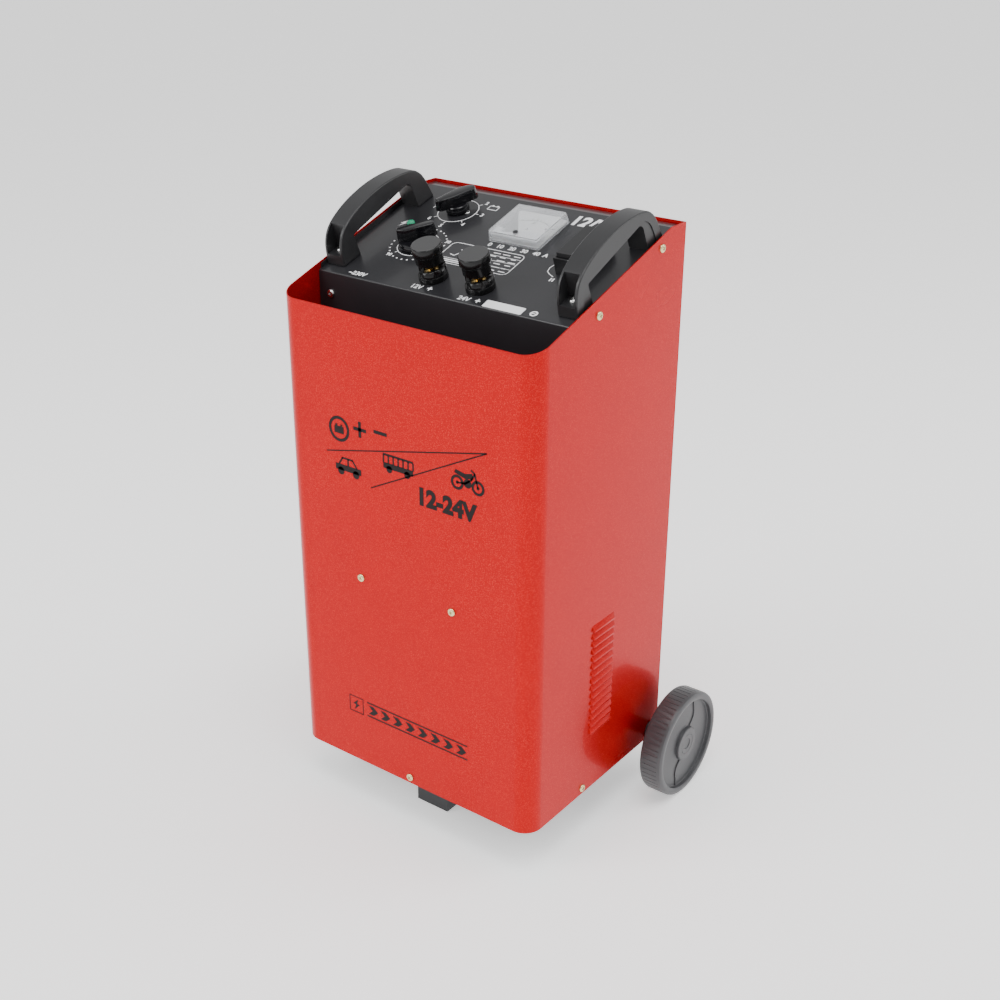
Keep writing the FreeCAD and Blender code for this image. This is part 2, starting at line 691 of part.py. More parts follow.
def make_handles():
    """Two moulded carrying handles, pocketed at both ends for their screws."""
    for label, side in (("handle_left", -1), ("handle_right", 1)):
        piece = Piece(label, on_panel(side * Size.handle_middle, 0), tilted=True)
        arch = piece.sketch("YZ")
        outline(arch, (12, 0), (13.5, 15), ((21.5, 33), (38, 43.5)), ((93, 52.4), (148.5, 43)),
                ((158, 33), (164.5, 20)), (170, 0))
        piece.pad(arch, Size.handle_width, middle=True)
        gap = piece.sketch("YZ")
        outline(gap, (40, -1), (37.2, 23), ((37.9, 25), (40, 25.8)), (130, Size.grip_low),
                ((138, 30), (141, 22)), (143, -1))
        piece.cut(gap, Size.handle_width * 2, middle=True)
        pockets = piece.sketch("YZ")
        floor = Size.pocket_floor
        outline(pockets, (5, floor), (31, floor), (30, 38), (30, 60), (5, 60))
        outline(pockets, (149, floor), (175, floor), (175, 60), (152, 60), (152, 34))
        piece.cut(pockets, Size.pocket_width, middle=True)
        holes = piece.sketch("XY", Size.pocket_floor)
        for _, along in handle_screw_spots()[:2]:
            circle(holes, (0, along), 2.7)
        piece.cut(holes, Size.pocket_floor * 2)
    heads = [(on_panel(x, along, Size.pocket_floor), UPRIGHT, True) for x, along in handle_screw_spots()]
    fasteners("handle_screws", pan_screw(20, head=4.8, proud=3, shank=2.5), heads)
    under = [(on_panel(x, along, -Size.wall), UPRIGHT, True) for x, along in handle_screw_spots()]
    fasteners("handle_nuts", tube_profile(2.5, 5, -5, 0), under)


# ---- output terminals ------------------------------------------------------------------------

def make_terminals():
    """Two output terminals: moulded base, brass stud, brass clamping nut and moulded screw cap."""
    stud = Size.stud
    bases = []
    posts = []
    for name, across in (("12v", Size.post_left), ("24v", Size.post_right)):
        place = on_panel(across, Size.post_along)
        radius = Size.post_radius
        base = [(stud + 0.1, -9), (8, -9), (8, 0), (radius, 0), (radius, 14.5), (11, 14.5),
                (11, 6), (stud + 0.1, 6)]
        piece = turned(f"terminal_base_{name}", base, place, tilted=True, keep=False)
        bases.append(piece)
        mouth = piece.sketch("XY", 14.5)
        outline(mouth, (6, -5), (-5, 6), (-17, -6), (-6, -17))
        piece.cut(mouth, 8.5)
        post = [(0, -26), (stud, -26), (stud, 6), (8, 6), (8, 9), (stud, 9), (stud, 31), (0, 31)]
        posts.append(turned(f"terminal_stud_{name}", post, place, tilted=True, keep=False))
        bore = stud + Size.running
        clamp = [(bore, 14), (8, 14), (8, 30), (bore, 30)]
        turned(f"terminal_clamp_{name}", clamp, place, tilted=True)
        top = Size.cap_top
        neck = 14.6
        cap = [(8.05, 19.3), (neck, 19.3), (neck, 29), (Size.cap_radius - 0.6, 30), (Size.cap_radius, 31),
               (Size.cap_radius - 0.3, top - 1), (Size.cap_radius - 1.3, top), (0, top), (0, 35.5),
               (5, 35.5), (5, 30.2), (8.05, 30.2)]
        turned(f"terminal_cap_{name}", cap, place, tilted=True)
    together("terminal_bases", bases)
    together("terminal_studs", posts)
    places = [(on_panel(across, Size.post_along), UPRIGHT, True) for across in (Size.post_left, Size.post_right)]
    fasteners("terminal_washers", tube_profile(stud + 0.1, 12, -10.6, -9), places)
    fasteners("terminal_nuts", tube_profile(stud, 7, -17, -10.7), places)


# ---- knobs, lamp, meter and changeover switch ------------------------------------------------

def switch_screw_spots():
    """Places of the two small screws that hold the step switch."""
    return [(Size.knob_across - 12.4, Size.switch_along), (Size.knob_across + 12.4, Size.switch_along)]


def make_control(name, along, side, depth):
    """Body and shaft of a switch or timer behind the panel."""
    piece = block(f"{name}_body", on_panel(Size.knob_across, along, -(Size.wall + depth + 0.05)),
                  (side, side, depth), tilted=True)
    well = piece.sketch("XY", depth)
    circle(well, (0, 0), Size.shaft + Size.running)
    piece.cut(well, 18)
    if name == "step_switch":
        pilots = piece.sketch("XY", depth)
        for x, _ in switch_screw_spots():
            circle(pilots, (x - Size.knob_across, 0), 1.55)
        piece.cut(pilots, 6)
    turned(f"{name}_shaft", [(0, -16), (Size.shaft, -16), (Size.shaft, 14), (0, 14)],
           on_panel(Size.knob_across, along), tilted=True)


def make_knobs():
    """Step switch and timer with their pointer knobs."""
    make_control("step_switch", Size.switch_along, 42, 28)
    make_control("timer", Size.timer_along, 50, 34)
    top = Size.knob_height
    place = on_panel(Size.knob_across, Size.switch_along)
    piece = Piece("step_switch_knob", place, tilted=True)
    drum = piece.sketch("XY", 1.5)
    circle(drum, (0, 0), 13)
    piece.pad(drum, 8.5)
    wing = piece.sketch("XY", 9)
    outline(wing, (-14, -17), ((-13, -21), (-5, -20)), (4.5, -8), (16.5, 16), (12, 23), ((4, 21), (-3, 14)))
    piece.pad(wing, top - 9)
    well = piece.sketch("XY", 1.5)
    circle(well, (0, 0), Size.shaft)
    piece.cut(well, 12.5, reverse=True)
    place = on_panel(Size.knob_across, Size.timer_along)
    piece = Piece("timer_knob", place, tilted=True)
    disc = piece.sketch("XY", 1.5)
    circle(disc, (0, 0), 20.5)
    piece.pad(disc, 6.5)
    wing = piece.sketch("XY", 7)
    outline(wing, (-18, -9), (-14, -14), (-4, -11), (17, 10), ((17, 16), (11, 17)), (-10, 1))
    piece.pad(wing, top - 7)
    well = piece.sketch("XY", 1.5)
    circle(well, (0, 0), Size.shaft)
    piece.cut(well, 12.5, reverse=True)
    heads = [(on_panel(x, along), UPRIGHT, True) for x, along in switch_screw_spots()]
    fasteners("switch_screws", pan_screw(6, head=3, proud=1.2, shank=1.5), heads)


def make_lamp():
    """Green pilot lamp with its body through the panel."""
    place = on_panel(Size.lamp_across, Size.lamp_along)
    turned("pilot_lamp_body", [(0, -26), (4, -26), (4, 0.8), (0, 0.8)], place, tilted=True)
    radius = Size.lamp_radius
    lens = [(0, 0.8), (4, 0.8), (4, 0), (radius, 0), (radius, 2.5),
            ((radius * 0.8, 4.4), (1.5, 5.4)), (0, 5.4)]
    turned("pilot_lamp_lens", lens, place, tilted=True)


def make_meter():
    """Panel ammeter: body, dial, needle, zero screw and clear cover."""
    place = on_panel(Size.meter_across, Size.meter_along)
    side = Size.meter_side
    wide = Size.meter_wide
    body = turned("meter_body", [(0, -34), (26, -34), (26, 0), (28, 0), (28, 1.5), (0, 1.5)], place, tilted=True)
    pivot = body.sketch("XY", 1.5)
    circle(pivot, (0, Size.needle_along - Size.meter_along), 2)
    body.cut(pivot, 6)
    dial = Piece("meter_dial", place, tilted=True)
    card = dial.sketch("XY", 2)
    rectangle(card, -29, -8, 29, 26)
    circle(card, (0, Size.needle_along - Size.meter_along + 12), 1)
    dial.pad(card, 1)
    cover = Piece("meter_cover", place, tilted=True)
    square = cover.sketch("XY")
    rectangle(square, -(wide / 2), -(side / 2), wide / 2, side / 2)
    cover.pad(square, Size.meter_height)
    cavity = cover.sketch("XY")
    inside, across = side / 2 - 1.8, wide / 2 - 1.8
    rectangle(cavity, -across, -inside, across, inside)
    cover.cut(cavity, Size.meter_height - 1.8, reverse=True)
    hole = cover.sketch("XY", Size.meter_height)
    circle(hole, (0, 115 - Size.meter_along), 3.05)
    cover.cut(hole, 4)
    axis = on_panel(Size.meter_across, Size.needle_along)
    needle = Piece("meter_needle", axis, tilted=True)
    hub = needle.sketch("XY", -3)
    circle(hub, (0, 0), 1.8)
    needle.pad(hub, 9)
    arm = needle.sketch("XY", 4.2)
    outline(arm, (-1.4, 0), (0, -1.4), (-21.4, 21.9), (-21.9, 21.4))
    needle.pad(arm, 0.6)
    zero = [(0, 8.5), (3, 8.5), (3, Size.meter_height + 0.8), (0, Size.meter_height + 0.8)]
    screw = turned("meter_zero_screw", zero, on_panel(Size.meter_across, 115), tilted=True)
    notch = screw.sketch("XY", Size.meter_height + 0.8)
    rectangle(notch, -3.5, -0.4, 3.5, 0.4)
    screw.cut(notch, 0.8)


def make_changeover():
    """Tall changeover switch: housing through the panel and the rocker in it."""
    place = on_panel(Size.rocker_across, Size.rocker_along)
    wide = Size.housing_width / 2
    deep = Size.housing_length / 2
    piece = Piece("changeover_housing", place, tilted=True)
    outside = piece.sketch("XY")
    rectangle(outside, -wide, -deep, wide, deep)
    piece.pad(outside, Size.housing_height)
    stem = piece.sketch("XY", 0)
    rectangle(stem, -(wide - 2.2), -(deep - 4.2), wide - 2.2, deep - 4.2)
    piece.pad(stem, 26, reverse=True)
    well = piece.sketch("XY", Size.housing_height)
    rectangle(well, -(wide - 2), -(deep - 2), wide - 2, deep - 2)
    piece.cut(well, 14)
    pivots = piece.sketch("YZ")
    circle(pivots, (0, 14), Size.pivot + Size.running)
    piece.cut(pivots, (wide - 0.6) * 2, middle=True)
    rocker = Piece("changeover_rocker", on_panel(Size.rocker_across, Size.rocker_along, 14), tilted=True)
    key = rocker.sketch("YZ")
    top = Size.rocker_height - 14
    reach = deep - 3.2
    outline(key, (-reach, 3.5), (-(reach - 6), -2), (-5, -5), (5, -5), (reach - 6, -2), (reach, 3.5),
            (reach - 0.8, top), (-(reach - 0.8), top))
    rocker.pad(key, (wide - 2.4) * 2, middle=True)
    pins = rocker.sketch("YZ")
    circle(pins, (0, 0), Size.pivot)
    rocker.pad(pins, (wide - 0.9) * 2, middle=True)


# ---- inside: transformer, rectifier, wiring points -------------------------------------------

def clamp_screw_spots():
    """Places of the screws that hold the transformer clamps to the base tray."""
    middle = front + Size.core_setback
    gap = Size.core_depth / 2
    return [(x, y) for x in (-78, 78) for y in (middle - gap - 12, middle + gap + 11)]


def make_transformer():
    """Laminated core on two angle clamps, with its windings and through bolts."""
    y = front + Size.core_setback
    z = ground_gap + Size.base_wall + 3
    wide = Size.core_width / 2
    leg = Size.core_leg
    core = Piece("transformer_core", (0, y, z))
    face = core.sketch("XZ")
    rectangle(face, -wide, 0, wide, Size.core_height)
    for side in (-1, 1):
        outline(face, (side * leg, leg), (side * (wide - leg), leg),
                (side * (wide - leg), Size.core_height - leg), (side * leg, Size.core_height - leg))
        for height in (8, 117):
            circle(face, (side * (wide - 7), height), 3.2)
    core.pad(face, Size.core_depth, middle=True)
    level = z + leg + 1
    for label, start in (("primary_winding", 0), ("secondary_winding", 37)):
        coil = Piece(label, (0, y, level + start))
        plan = coil.sketch("XY")
        across = wide - leg - 0.5
        deep = Size.core_depth / 2 + 24
        rectangle(plan, -across, -deep, across, deep)
        rectangle(plan, -(leg + 0.5), -(Size.core_depth / 2 + 0.5), leg + 0.5, Size.core_depth / 2 + 0.5)
        coil.pad(plan, 36)
    clamps = []
    for label, side in (("front_clamp", -1), ("rear_clamp", 1)):
        clamp = Piece("transformer_" + label, (0, y, z - 3), keep=False)
        clamps.append(clamp)
        near = side * (Size.core_depth / 2)
        profile = clamp.sketch("YZ")
        outline(profile, (near, 0), (near + side * 20, 0), (near + side * 20, 3), (near + side * 3, 3),
                (near + side * 3, 27), (near, 27))
        clamp.pad(profile, 180, middle=True)
        holes = clamp.sketch("XZ")
        for x in (-1, 1):
            circle(holes, (x * (wide - 7), 11), 3.2)
        clamp.cut(holes, Size.core_depth + 20, middle=True)
        seats = clamp.sketch("XY", 3)
        for x, place in clamp_screw_spots():
            circle(seats, (x, place - y), 3.2)
        clamp.cut(seats, 8)
    together("transformer_clamps", clamps)
    long = Size.core_depth + 18
    bolt = [(0, -5), (5.5, -5), (5.5, 0), (3, 0), (3, long), (0, long)]
    begin = y - Size.core_depth / 2 - 3
    spots = [(side * (wide - 7), z + height) for side in (-1, 1) for height in (8, 117)]
    fasteners("transformer_bolts", bolt, [((x, begin, h), TO_BACK, False) for x, h in spots])
    end = y + Size.core_depth / 2 + 3
    fasteners("transformer_nuts", tube_profile(3, 5.5, 0, 5), [((x, end, h), TO_BACK, False) for x, h in spots])
    fasteners("clamp_screws", pan_screw(8, head=5.5, proud=3.5, shank=3),
              [((x, place, z), UPRIGHT, False) for x, place in clamp_screw_spots()])
    block("thermal_cutout", (0, y - Size.core_depth / 2 - 12, level + 73.1), (22, 14, 9))


def standoff_spots():
    """Places of the insulating standoffs on the rear panel: (across, height above ground)."""
    middle = ground_gap + Size.rectifier_rise
    return [(x, middle + height) for x in (-90, -20, 20, 90) for height in (-40, 40)]


def make_rectifier():
    """Two aluminium plates on insulating standoffs, each with two diodes."""
    inside = rear - Size.wall
    shank = Size.screw_shank
    fasteners("rectifier_standoffs", tube_profile(shank, 6, 0, 25),
              [((x, inside, z), TO_FRONT, False) for x, z in standoff_spots()])
    heads = [((x, inside - 29, z), TO_FRONT, False) for x, z in standoff_spots()]
    heads += [((x, rear, z), TO_BACK, False) for x, z in standoff_spots()]
    fasteners("rectifier_screws", pan_screw(6), heads)
    middle = ground_gap + Size.rectifier_rise
    plates = []
    for label, side in (("rectifier_plate_left", -1), ("rectifier_plate_right", 1)):
        piece = Piece(label, (side * 55, inside - 25, middle), keep=False)
        plates.append(piece)
        face = piece.sketch("XZ")
        rectangle(face, -45, -55, 45, 55)
        for x in (-35, 35):
            for z in (-40, 40):
                circle(face, (x, z), shank + Size.fit)
        piece.pad(face, 4)
    together("rectifier_plates", plates)
    diode = [(0, 0), (9, 0), (9, 4), (6, 4), (6, 10), (1.5, 10), (1.5, 16), (0, 16)]
    places = [((x, inside - 29, middle + height), TO_FRONT, False) for x in (-55, 55) for height in (-18, 18)]
    fasteners("rectifier_diodes", diode, places)


def make_wiring_points():
    """Terminal strip behind the black wall and the two glands in the cable bay."""
    behind = panel_front + Size.wall
    strip = block("terminal_strip", (0, behind + 11, ground_gap + 330), (90, 22, 18))
    slots = strip.sketch("XZ", -11)
    for x in (-33, -11, 11, 33):
        circle(slots, (x, 9), 3)
    strip.cut(slots, 12, reverse=True)
    z = ground_gap + Size.gland_rise
    rings = []
    for label, across, bore in (("mains_gland", Size.mains_across, 4.5), ("negative_gland", Size.negative_across, 5.5)):
        thread = bore + 3.5
        flange = bore + 7
        profile = [(bore, -9), (thread, -9), (thread, 0), (flange, 0), (flange, 5), (flange - 2, 7),
                   (flange - 3, 18), (bore, 18)]
        turned(label, profile, (across, panel_front, z), TO_FRONT)
        ring = tube_profile(thread, flange, -7.2, -1.3)
        rings.append(turned(label + "_nut", ring, (across, panel_front, z), TO_FRONT, keep=False))
    together("gland_nuts", rings)


def check_and_write():
    """Stop on any failed object, then write one STEP file for each node."""
    doc.recompute()
    for item in doc.Objects:
        if "Invalid" in item.State or "Error" in item.State:
            raise RuntimeError(f"{item.Label} failed: {item.State}")
    os.makedirs("parts", exist_ok=True)
    for item in nodes:
        if item.Shape.isNull() or not item.Shape.isValid() or not item.Shape.Solids:
            raise RuntimeError(f"{item.Label} has no valid solid")
        item.Shape.exportStep(f"parts/{item.Label}.step")
    print(len(nodes), "nodes written")


make_shell_wrap()
make_rear_panel()
make_base_tray()
make_bay_floor()
make_control_panel()
make_running_gear()
make_foot()
make_case_screws()
make_handles()
make_terminals()
make_knobs()
make_lamp()
make_meter()
make_changeover()
make_transformer()
make_rectifier()
make_wiring_points()
check_and_write()
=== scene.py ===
"""Looks of a wheeled battery charger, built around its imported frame.

Pieces are modelled in millimetres in a frame of their own and then settled into place:
on the sloping control panel (across, up the slope, above it) or on a face of the case.
"""

import json
import logging
import math
from collections.abc import Callable, Iterator, Sequence
from contextlib import contextmanager
from dataclasses import dataclass, field
from enum import Enum

import bmesh
import bpy
from mathutils import Matrix, Vector

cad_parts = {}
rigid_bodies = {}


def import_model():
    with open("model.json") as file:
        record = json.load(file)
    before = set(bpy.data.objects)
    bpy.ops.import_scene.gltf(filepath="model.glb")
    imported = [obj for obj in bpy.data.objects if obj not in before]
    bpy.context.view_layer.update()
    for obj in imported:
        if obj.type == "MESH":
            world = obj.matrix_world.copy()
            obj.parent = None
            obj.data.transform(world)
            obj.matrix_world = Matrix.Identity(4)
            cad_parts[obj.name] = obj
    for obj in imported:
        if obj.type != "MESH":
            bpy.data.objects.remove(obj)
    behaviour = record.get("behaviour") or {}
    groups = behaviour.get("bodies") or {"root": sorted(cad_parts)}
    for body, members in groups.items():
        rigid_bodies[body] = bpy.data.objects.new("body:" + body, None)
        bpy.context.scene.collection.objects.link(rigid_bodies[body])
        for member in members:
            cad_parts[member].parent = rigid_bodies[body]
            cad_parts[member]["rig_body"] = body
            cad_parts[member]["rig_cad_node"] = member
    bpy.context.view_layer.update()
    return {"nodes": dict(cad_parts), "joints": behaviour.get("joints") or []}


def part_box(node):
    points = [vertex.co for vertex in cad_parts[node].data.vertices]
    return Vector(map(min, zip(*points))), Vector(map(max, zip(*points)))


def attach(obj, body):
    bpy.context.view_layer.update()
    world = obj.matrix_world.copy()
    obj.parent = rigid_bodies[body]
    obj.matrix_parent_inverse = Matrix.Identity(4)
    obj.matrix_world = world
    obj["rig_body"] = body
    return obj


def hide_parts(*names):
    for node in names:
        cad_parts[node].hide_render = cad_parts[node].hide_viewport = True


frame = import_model()
MM = 0.001
LOG = logging.getLogger("charger")
Point = tuple[float, float]
Colour = tuple[float, float, float]
SWITCH_SPOT: Point = (-87.0, 149.5)
TIMER_SPOT: Point = (-87.0, 77.0)


# ---- places ----------------------------------------------------------------------------------

class Facing(Enum):
    """Ways that a flat face of the case can look, as its own right and up directions."""

    FRONT = ((1, 0, 0), (0, 0, 1))
    REAR = ((-1, 0, 0), (0, 0, 1))
    RIGHT = ((0, 1, 0), (0, 0, 1))
    LEFT = ((0, -1, 0), (0, 0, 1))


def on_face(facing: Facing, origin: Vector, turn: float = 0.0) -> Matrix:
    """Place for a piece modelled in millimetres that stands on a face.

    Args:
        facing: Which way the face looks; the piece's +Z goes that way.
        origin: Where the piece's origin goes, in metres.
        turn: Degrees anticlockwise about the face's normal.

    Returns:
        The matrix that takes the piece there.
    """
    right, up = (Vector(v) for v in facing.value)
    basis = Matrix((right, up, right.cross(up))).transposed().to_4x4()
    spin = Matrix.Rotation(math.radians(turn), 4, "Z")
    return Matrix.Translation(origin) @ basis @ spin @ Matrix.Scale(MM, 4)


class Panel:
    """The sloping control panel's own frame, read from the step switch's axis."""

    def place(self, across: float, along: float, above: float = 0.0, turn: float = 0.0) -> Matrix:
        """Place for a piece that stands on the panel.

        Args:
            across: Millimetres along X.
            along: Millimetres up the slope from the panel's front edge.
            above: Millimetres off the panel.
            turn: Degrees anticlockwise seen from above the panel.

        Returns:
            The matrix that takes the piece there.
        """
        joint = next(j for j in frame["joints"] if j["name"] == "step_switch_turn")
        normal = Vector(joint["axis"]).normalized()
        right = Vector((1, 0, 0))
        up = normal.cross(right)
        basis = Matrix((right, up, normal)).transposed().to_4x4()
        shift = Vector((across - SWITCH_SPOT[0], along - SWITCH_SPOT[1], above)) * MM
        spin = Matrix.Rotation(math.radians(turn), 4, "Z")
        home = Matrix.Translation(Vector(joint["pos_m"])) @ basis
        return home @ Matrix.Translation(shift) @ spin @ Matrix.Scale(MM, 4)


PANEL = Panel()


# ---- modelling by hand -----------------------------------------------------------------------

def clear_selection() -> None:
    """Leave nothing selected."""
    bpy.ops.object.select_all(action="DESELECT")


def take(obj: bpy.types.Object) -> None:
    """Select one object alone and make it the active one."""
    clear_selection()
    obj.select_set(True)
    bpy.context.view_layer.objects.active = obj


@contextmanager
def editing(obj: bpy.types.Object, kind: str = "FACE") -> Iterator[bmesh.types.BMesh]:
    """Edit mode on one object with nothing selected; yields its edit mesh."""
    take(obj)
    bpy.ops.object.mode_set(mode="EDIT")
    bpy.ops.mesh.select_mode(type=kind)
    bpy.ops.mesh.select_all(action="DESELECT")
    yield bmesh.from_edit_mesh(obj.data)
    bpy.ops.object.mode_set(mode="OBJECT")


def pick(mesh: bmesh.types.BMesh, items: Sequence, test: Callable) -> None:
    """Select the faces, edges or vertices that pass a test."""
    for item in items:
        item.select_set(bool(test(item)))
    mesh.select_flush_mode()


def looks_up(face: bmesh.types.BMFace) -> bool:
    """Whether an edit-mesh face looks along +Z."""
    return face.normal.z > 0.9


def modify(obj: bpy.types.Object, kind: str, **settings: object) -> None:
    """Add a modifier, set it up and apply it."""
    take(obj)
    modifier = obj.modifiers.new(kind.lower(), kind)
    for name, value in settings.items():
        setattr(modifier, name, value)
    bpy.ops.object.modifier_apply(modifier=modifier.name)


def round_off(obj: bpy.types.Object, width: float, segments: int = 2, angle: float = 35.0) -> None:
    """Round every edge sharper than an angle."""
    modify(obj, "BEVEL", width=width, segments=segments, limit_method="ANGLE",
           angle_limit=math.radians(angle), harden_normals=False)


def smooth(obj: bpy.types.Object, angle: float = 32.0) -> None:
    """Shade smooth, with edges sharper than an angle kept crisp."""
    take(obj)
    bpy.ops.object.shade_smooth_by_angle(angle=math.radians(angle))


def settle(obj: bpy.types.Object, place: Matrix) -> bpy.types.Object:
    """Take a finished piece to its place, and leave its object at the origin."""
    take(obj)
    obj.matrix_world = place @ obj.matrix_world
    bpy.ops.object.transform_apply(location=True, rotation=True, scale=True)
    return obj


def cuboid(low: Sequence[float], high: Sequence[float], name: str = "block") -> bpy.types.Object:
    """A block between two corners."""
    clear_selection()
    low, high = Vector(low), Vector(high)
    bpy.ops.mesh.primitive_cube_add(size=1, location=(low + high) / 2)
    obj = bpy.context.object
    obj.name = name
    obj.scale = high - low
    bpy.ops.object.transform_apply(location=True, rotation=True, scale=True)
    return obj


def drum(radius: float, low: float, high: float, centre: Point = (0, 0), sides: int = 48,
         name: str = "drum") -> bpy.types.Object:
    """A round block that stands along Z."""
    clear_selection()
    bpy.ops.mesh.primitive_cylinder_add(vertices=sides, radius=radius, depth=high - low,
                                        location=(*centre, (low + high) / 2))
    obj = bpy.context.object
    obj.name = name
    bpy.ops.object.transform_apply(location=True, rotation=True, scale=True)
    return obj


def chain(points: Sequence[Sequence[float]], name: str) -> bpy.types.Object:
    """A row of vertices joined by edges, extruded one from the next."""
    clear_selection()
    bpy.ops.mesh.primitive_plane_add(size=1, location=(0, 0, 0))
    obj = bpy.context.object
    obj.name = name
    bpy.ops.object.mode_set(mode="EDIT")
    bpy.ops.mesh.select_mode(type="VERT")
    bpy.ops.mesh.select_all(action="SELECT")
    bpy.ops.mesh.merge(type="CENTER")
    here = Vector(points[0])
    bpy.ops.transform.translate(value=here)
    for point in points[1:]:
        step = Vector(point) - here
        bpy.ops.mesh.extrude_vertices_move(TRANSFORM_OT_translate={"value": step})
        here = Vector(point)
    bpy.ops.object.mode_set(mode="OBJECT")
    return obj


def lathe(profile: Sequence[Point], name: str, steps: int = 64) -> bpy.types.Object:
    """A piece turned about Z from (radius, height) points."""
    obj = chain([(r, 0, h) for r, h in profile], name)
    with editing(obj, "VERT"):
        bpy.ops.mesh.select_all(action="SELECT")
        bpy.ops.mesh.spin(steps=steps, angle=math.tau, center=(0, 0, 0), axis=(0, 0, 1))
        bpy.ops.mesh.select_all(action="SELECT")
        bpy.ops.mesh.remove_doubles(threshold=0.001)
        bpy.ops.mesh.normals_make_consistent(inside=False)
    return obj


def slab(points: Sequence[Point], low: float, high: float, name: str = "slab") -> bpy.types.Object:
    """A flat piece of the given outline, raised along Z."""
    obj = chain([(x, y, low) for x, y in points], name)
    with editing(obj, "VERT"):
        bpy.ops.mesh.select_all(action="SELECT")
        bpy.ops.mesh.edge_face_add()
        bpy.ops.mesh.extrude_region_move(TRANSFORM_OT_translate={"value": (0, 0, high - low)})
        bpy.ops.mesh.select_all(action="SELECT")
        bpy.ops.mesh.normals_make_consistent(inside=False)
    return obj


def polar(centre: Point, radius: float, degrees: float) -> Point:
    """The point at a distance and an angle from a centre."""
    angle = math.radians(degrees)
    return (centre[0] + radius * math.cos(angle), centre[1] + radius * math.sin(angle))


def arc(centre: Point, radius: float, start: float, end: float, steps: int = 12) -> list[Point]:
    """Points along an arc, from one angle to another in equal steps."""
    return [polar(centre, radius, start + (end - start) * i / steps) for i in range(steps + 1)]


def rounded_box(low: Point, high: Point, radius: float, steps: int = 5) -> list[Point]:
    """Outline of a rectangle with rounded corners."""
    (x0, y0), (x1, y1) = low, high
    corners = [((x1 - radius, y1 - radius), 0), ((x0 + radius, y1 - radius), 90),
               ((x0 + radius, y0 + radius), 180), ((x1 - radius, y0 + radius), 270)]
    return [p for centre, start in corners for p in arc(centre, radius, start, start + 90, steps)]


def curve_through(points: Sequence[Point], steps: int = 6) -> list[Point]:
    """Smooth run of points through the given ones."""
    whole = [Vector(p) for p in (points[0], *points, points[-1])]
    found: list[Point] = []
    for a, b, c, d in zip(whole, whole[1:], whole[2:], whole[3:]):
        for i in range(steps):
            t = i / steps
            spot = 0.5 * (2 * b + (c - a) * t + (2 * a - 5 * b + 4 * c - d) * t * t
                          + (3 * b - a - 3 * c + d) * t ** 3)
            found.append(tuple(spot))
    return found + [tuple(points[-1])]


def join(objs: Sequence[bpy.types.Object], name: str) -> bpy.types.Object:
    """Make one object of several."""
    take(objs[0])
    for obj in objs[1:]:
        obj.select_set(True)
    if len(objs) > 1:
        bpy.ops.object.join()
    obj = bpy.context.object
    obj.name = name
    return obj


def carve(obj: bpy.types.Object, *tools: bpy.types.Object) -> None:
    """Cut the tools out of a piece, and throw the tools away."""
    for tool in tools:
        modify(obj, "BOOLEAN", operation="DIFFERENCE", object=tool, solver="EXACT")
        bpy.data.objects.remove(tool)


def twin(obj: bpy.types.Object, name: str) -> bpy.types.Object:
    """A copy of a piece with a mesh of its own."""
    copy = obj.copy()
    copy.data = obj.data.copy()
    copy.name = name
    bpy.context.scene.collection.objects.link(copy)
    return copy


def refined(node: str, name: str, width: float, segments: int = 2, angle: float = 30.0) -> bpy.types.Object:
    """A merged copy of a frame node with its sharp edges softened.

    Args:
        node: The node to copy.
        name: Name of the new piece.
        width: Width of the softened edges, in millimetres.
        segments: Steps across each softened edge.
        angle: Edges sharper than this are softened.

    Returns:
        The new piece, which stands for the node.
    """
    obj = twin(frame["nodes"][node], name)
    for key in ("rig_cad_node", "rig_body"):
        if key in obj:
            del obj[key]
    obj.parent = None
    with editing(obj, "VERT"):
        bpy.ops.mesh.select_all(action="SELECT")
        bpy.ops.mesh.remove_doubles(threshold=0.000004)
        bpy.ops.mesh.dissolve_limited(angle_limit=math.radians(0.6))
    round_off(obj, width * MM, segments, angle)
    smooth(obj, 40)
    modify(obj, "WEIGHTED_NORMAL", keep_sharp=True, weight=100)
    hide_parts(node)
    return obj


# ---- finishes --------------------------------------------------------------------------------

def add(tree: bpy.types.NodeTree, kind: str, inputs: dict | None = None, **settings: object) -> bpy.types.Node:
    """Add a shader node.

    Args:
        tree: The tree it goes into.
        kind: Its kind, as in ShaderNode followed by this.
        inputs: Values of its unlinked inputs.
        **settings: Its other settings.

    Returns:
        The node.
    """
    node = tree.nodes.new("ShaderNode" + kind)
    for label, value in settings.items():
        setattr(node, label, value)
    for label, value in (inputs or {}).items():
        node.inputs[label].default_value = value
    return node


def wire(tree: bpy.types.NodeTree, *runs: tuple) -> None:
    """Link nodes; each run is a node, its output, a second node and that one's input."""
    for source, out, target, into in runs:
        tree.links.new(source.outputs[out], target.inputs[into])


def node_group(name: str, inputs: dict[str, object], outputs: dict[str, str]) -> tuple:
    """A shader group with named sockets.

    Args:
        name: The group's name.
        inputs: Input name to its default: None for a vector, four numbers for a colour.
        outputs: Output name to its type.

    Returns:
        The group, its input node and its output node.
    """
    group = bpy.data.node_groups.new(name, "ShaderNodeTree")
    for label, default in inputs.items():
        kind = "Vector" if default is None else "Color" if isinstance(default, tuple) else "Float"
        socket = group.interface.new_socket(label, in_out="INPUT", socket_type="NodeSocket" + kind)
        if default is not None:
            socket.default_value = default
    for label, kind in outputs.items():
        group.interface.new_socket(label, in_out="OUTPUT", socket_type="NodeSocket" + kind)
    return group, group.nodes.new("NodeGroupInput"), group.nodes.new("NodeGroupOutput")


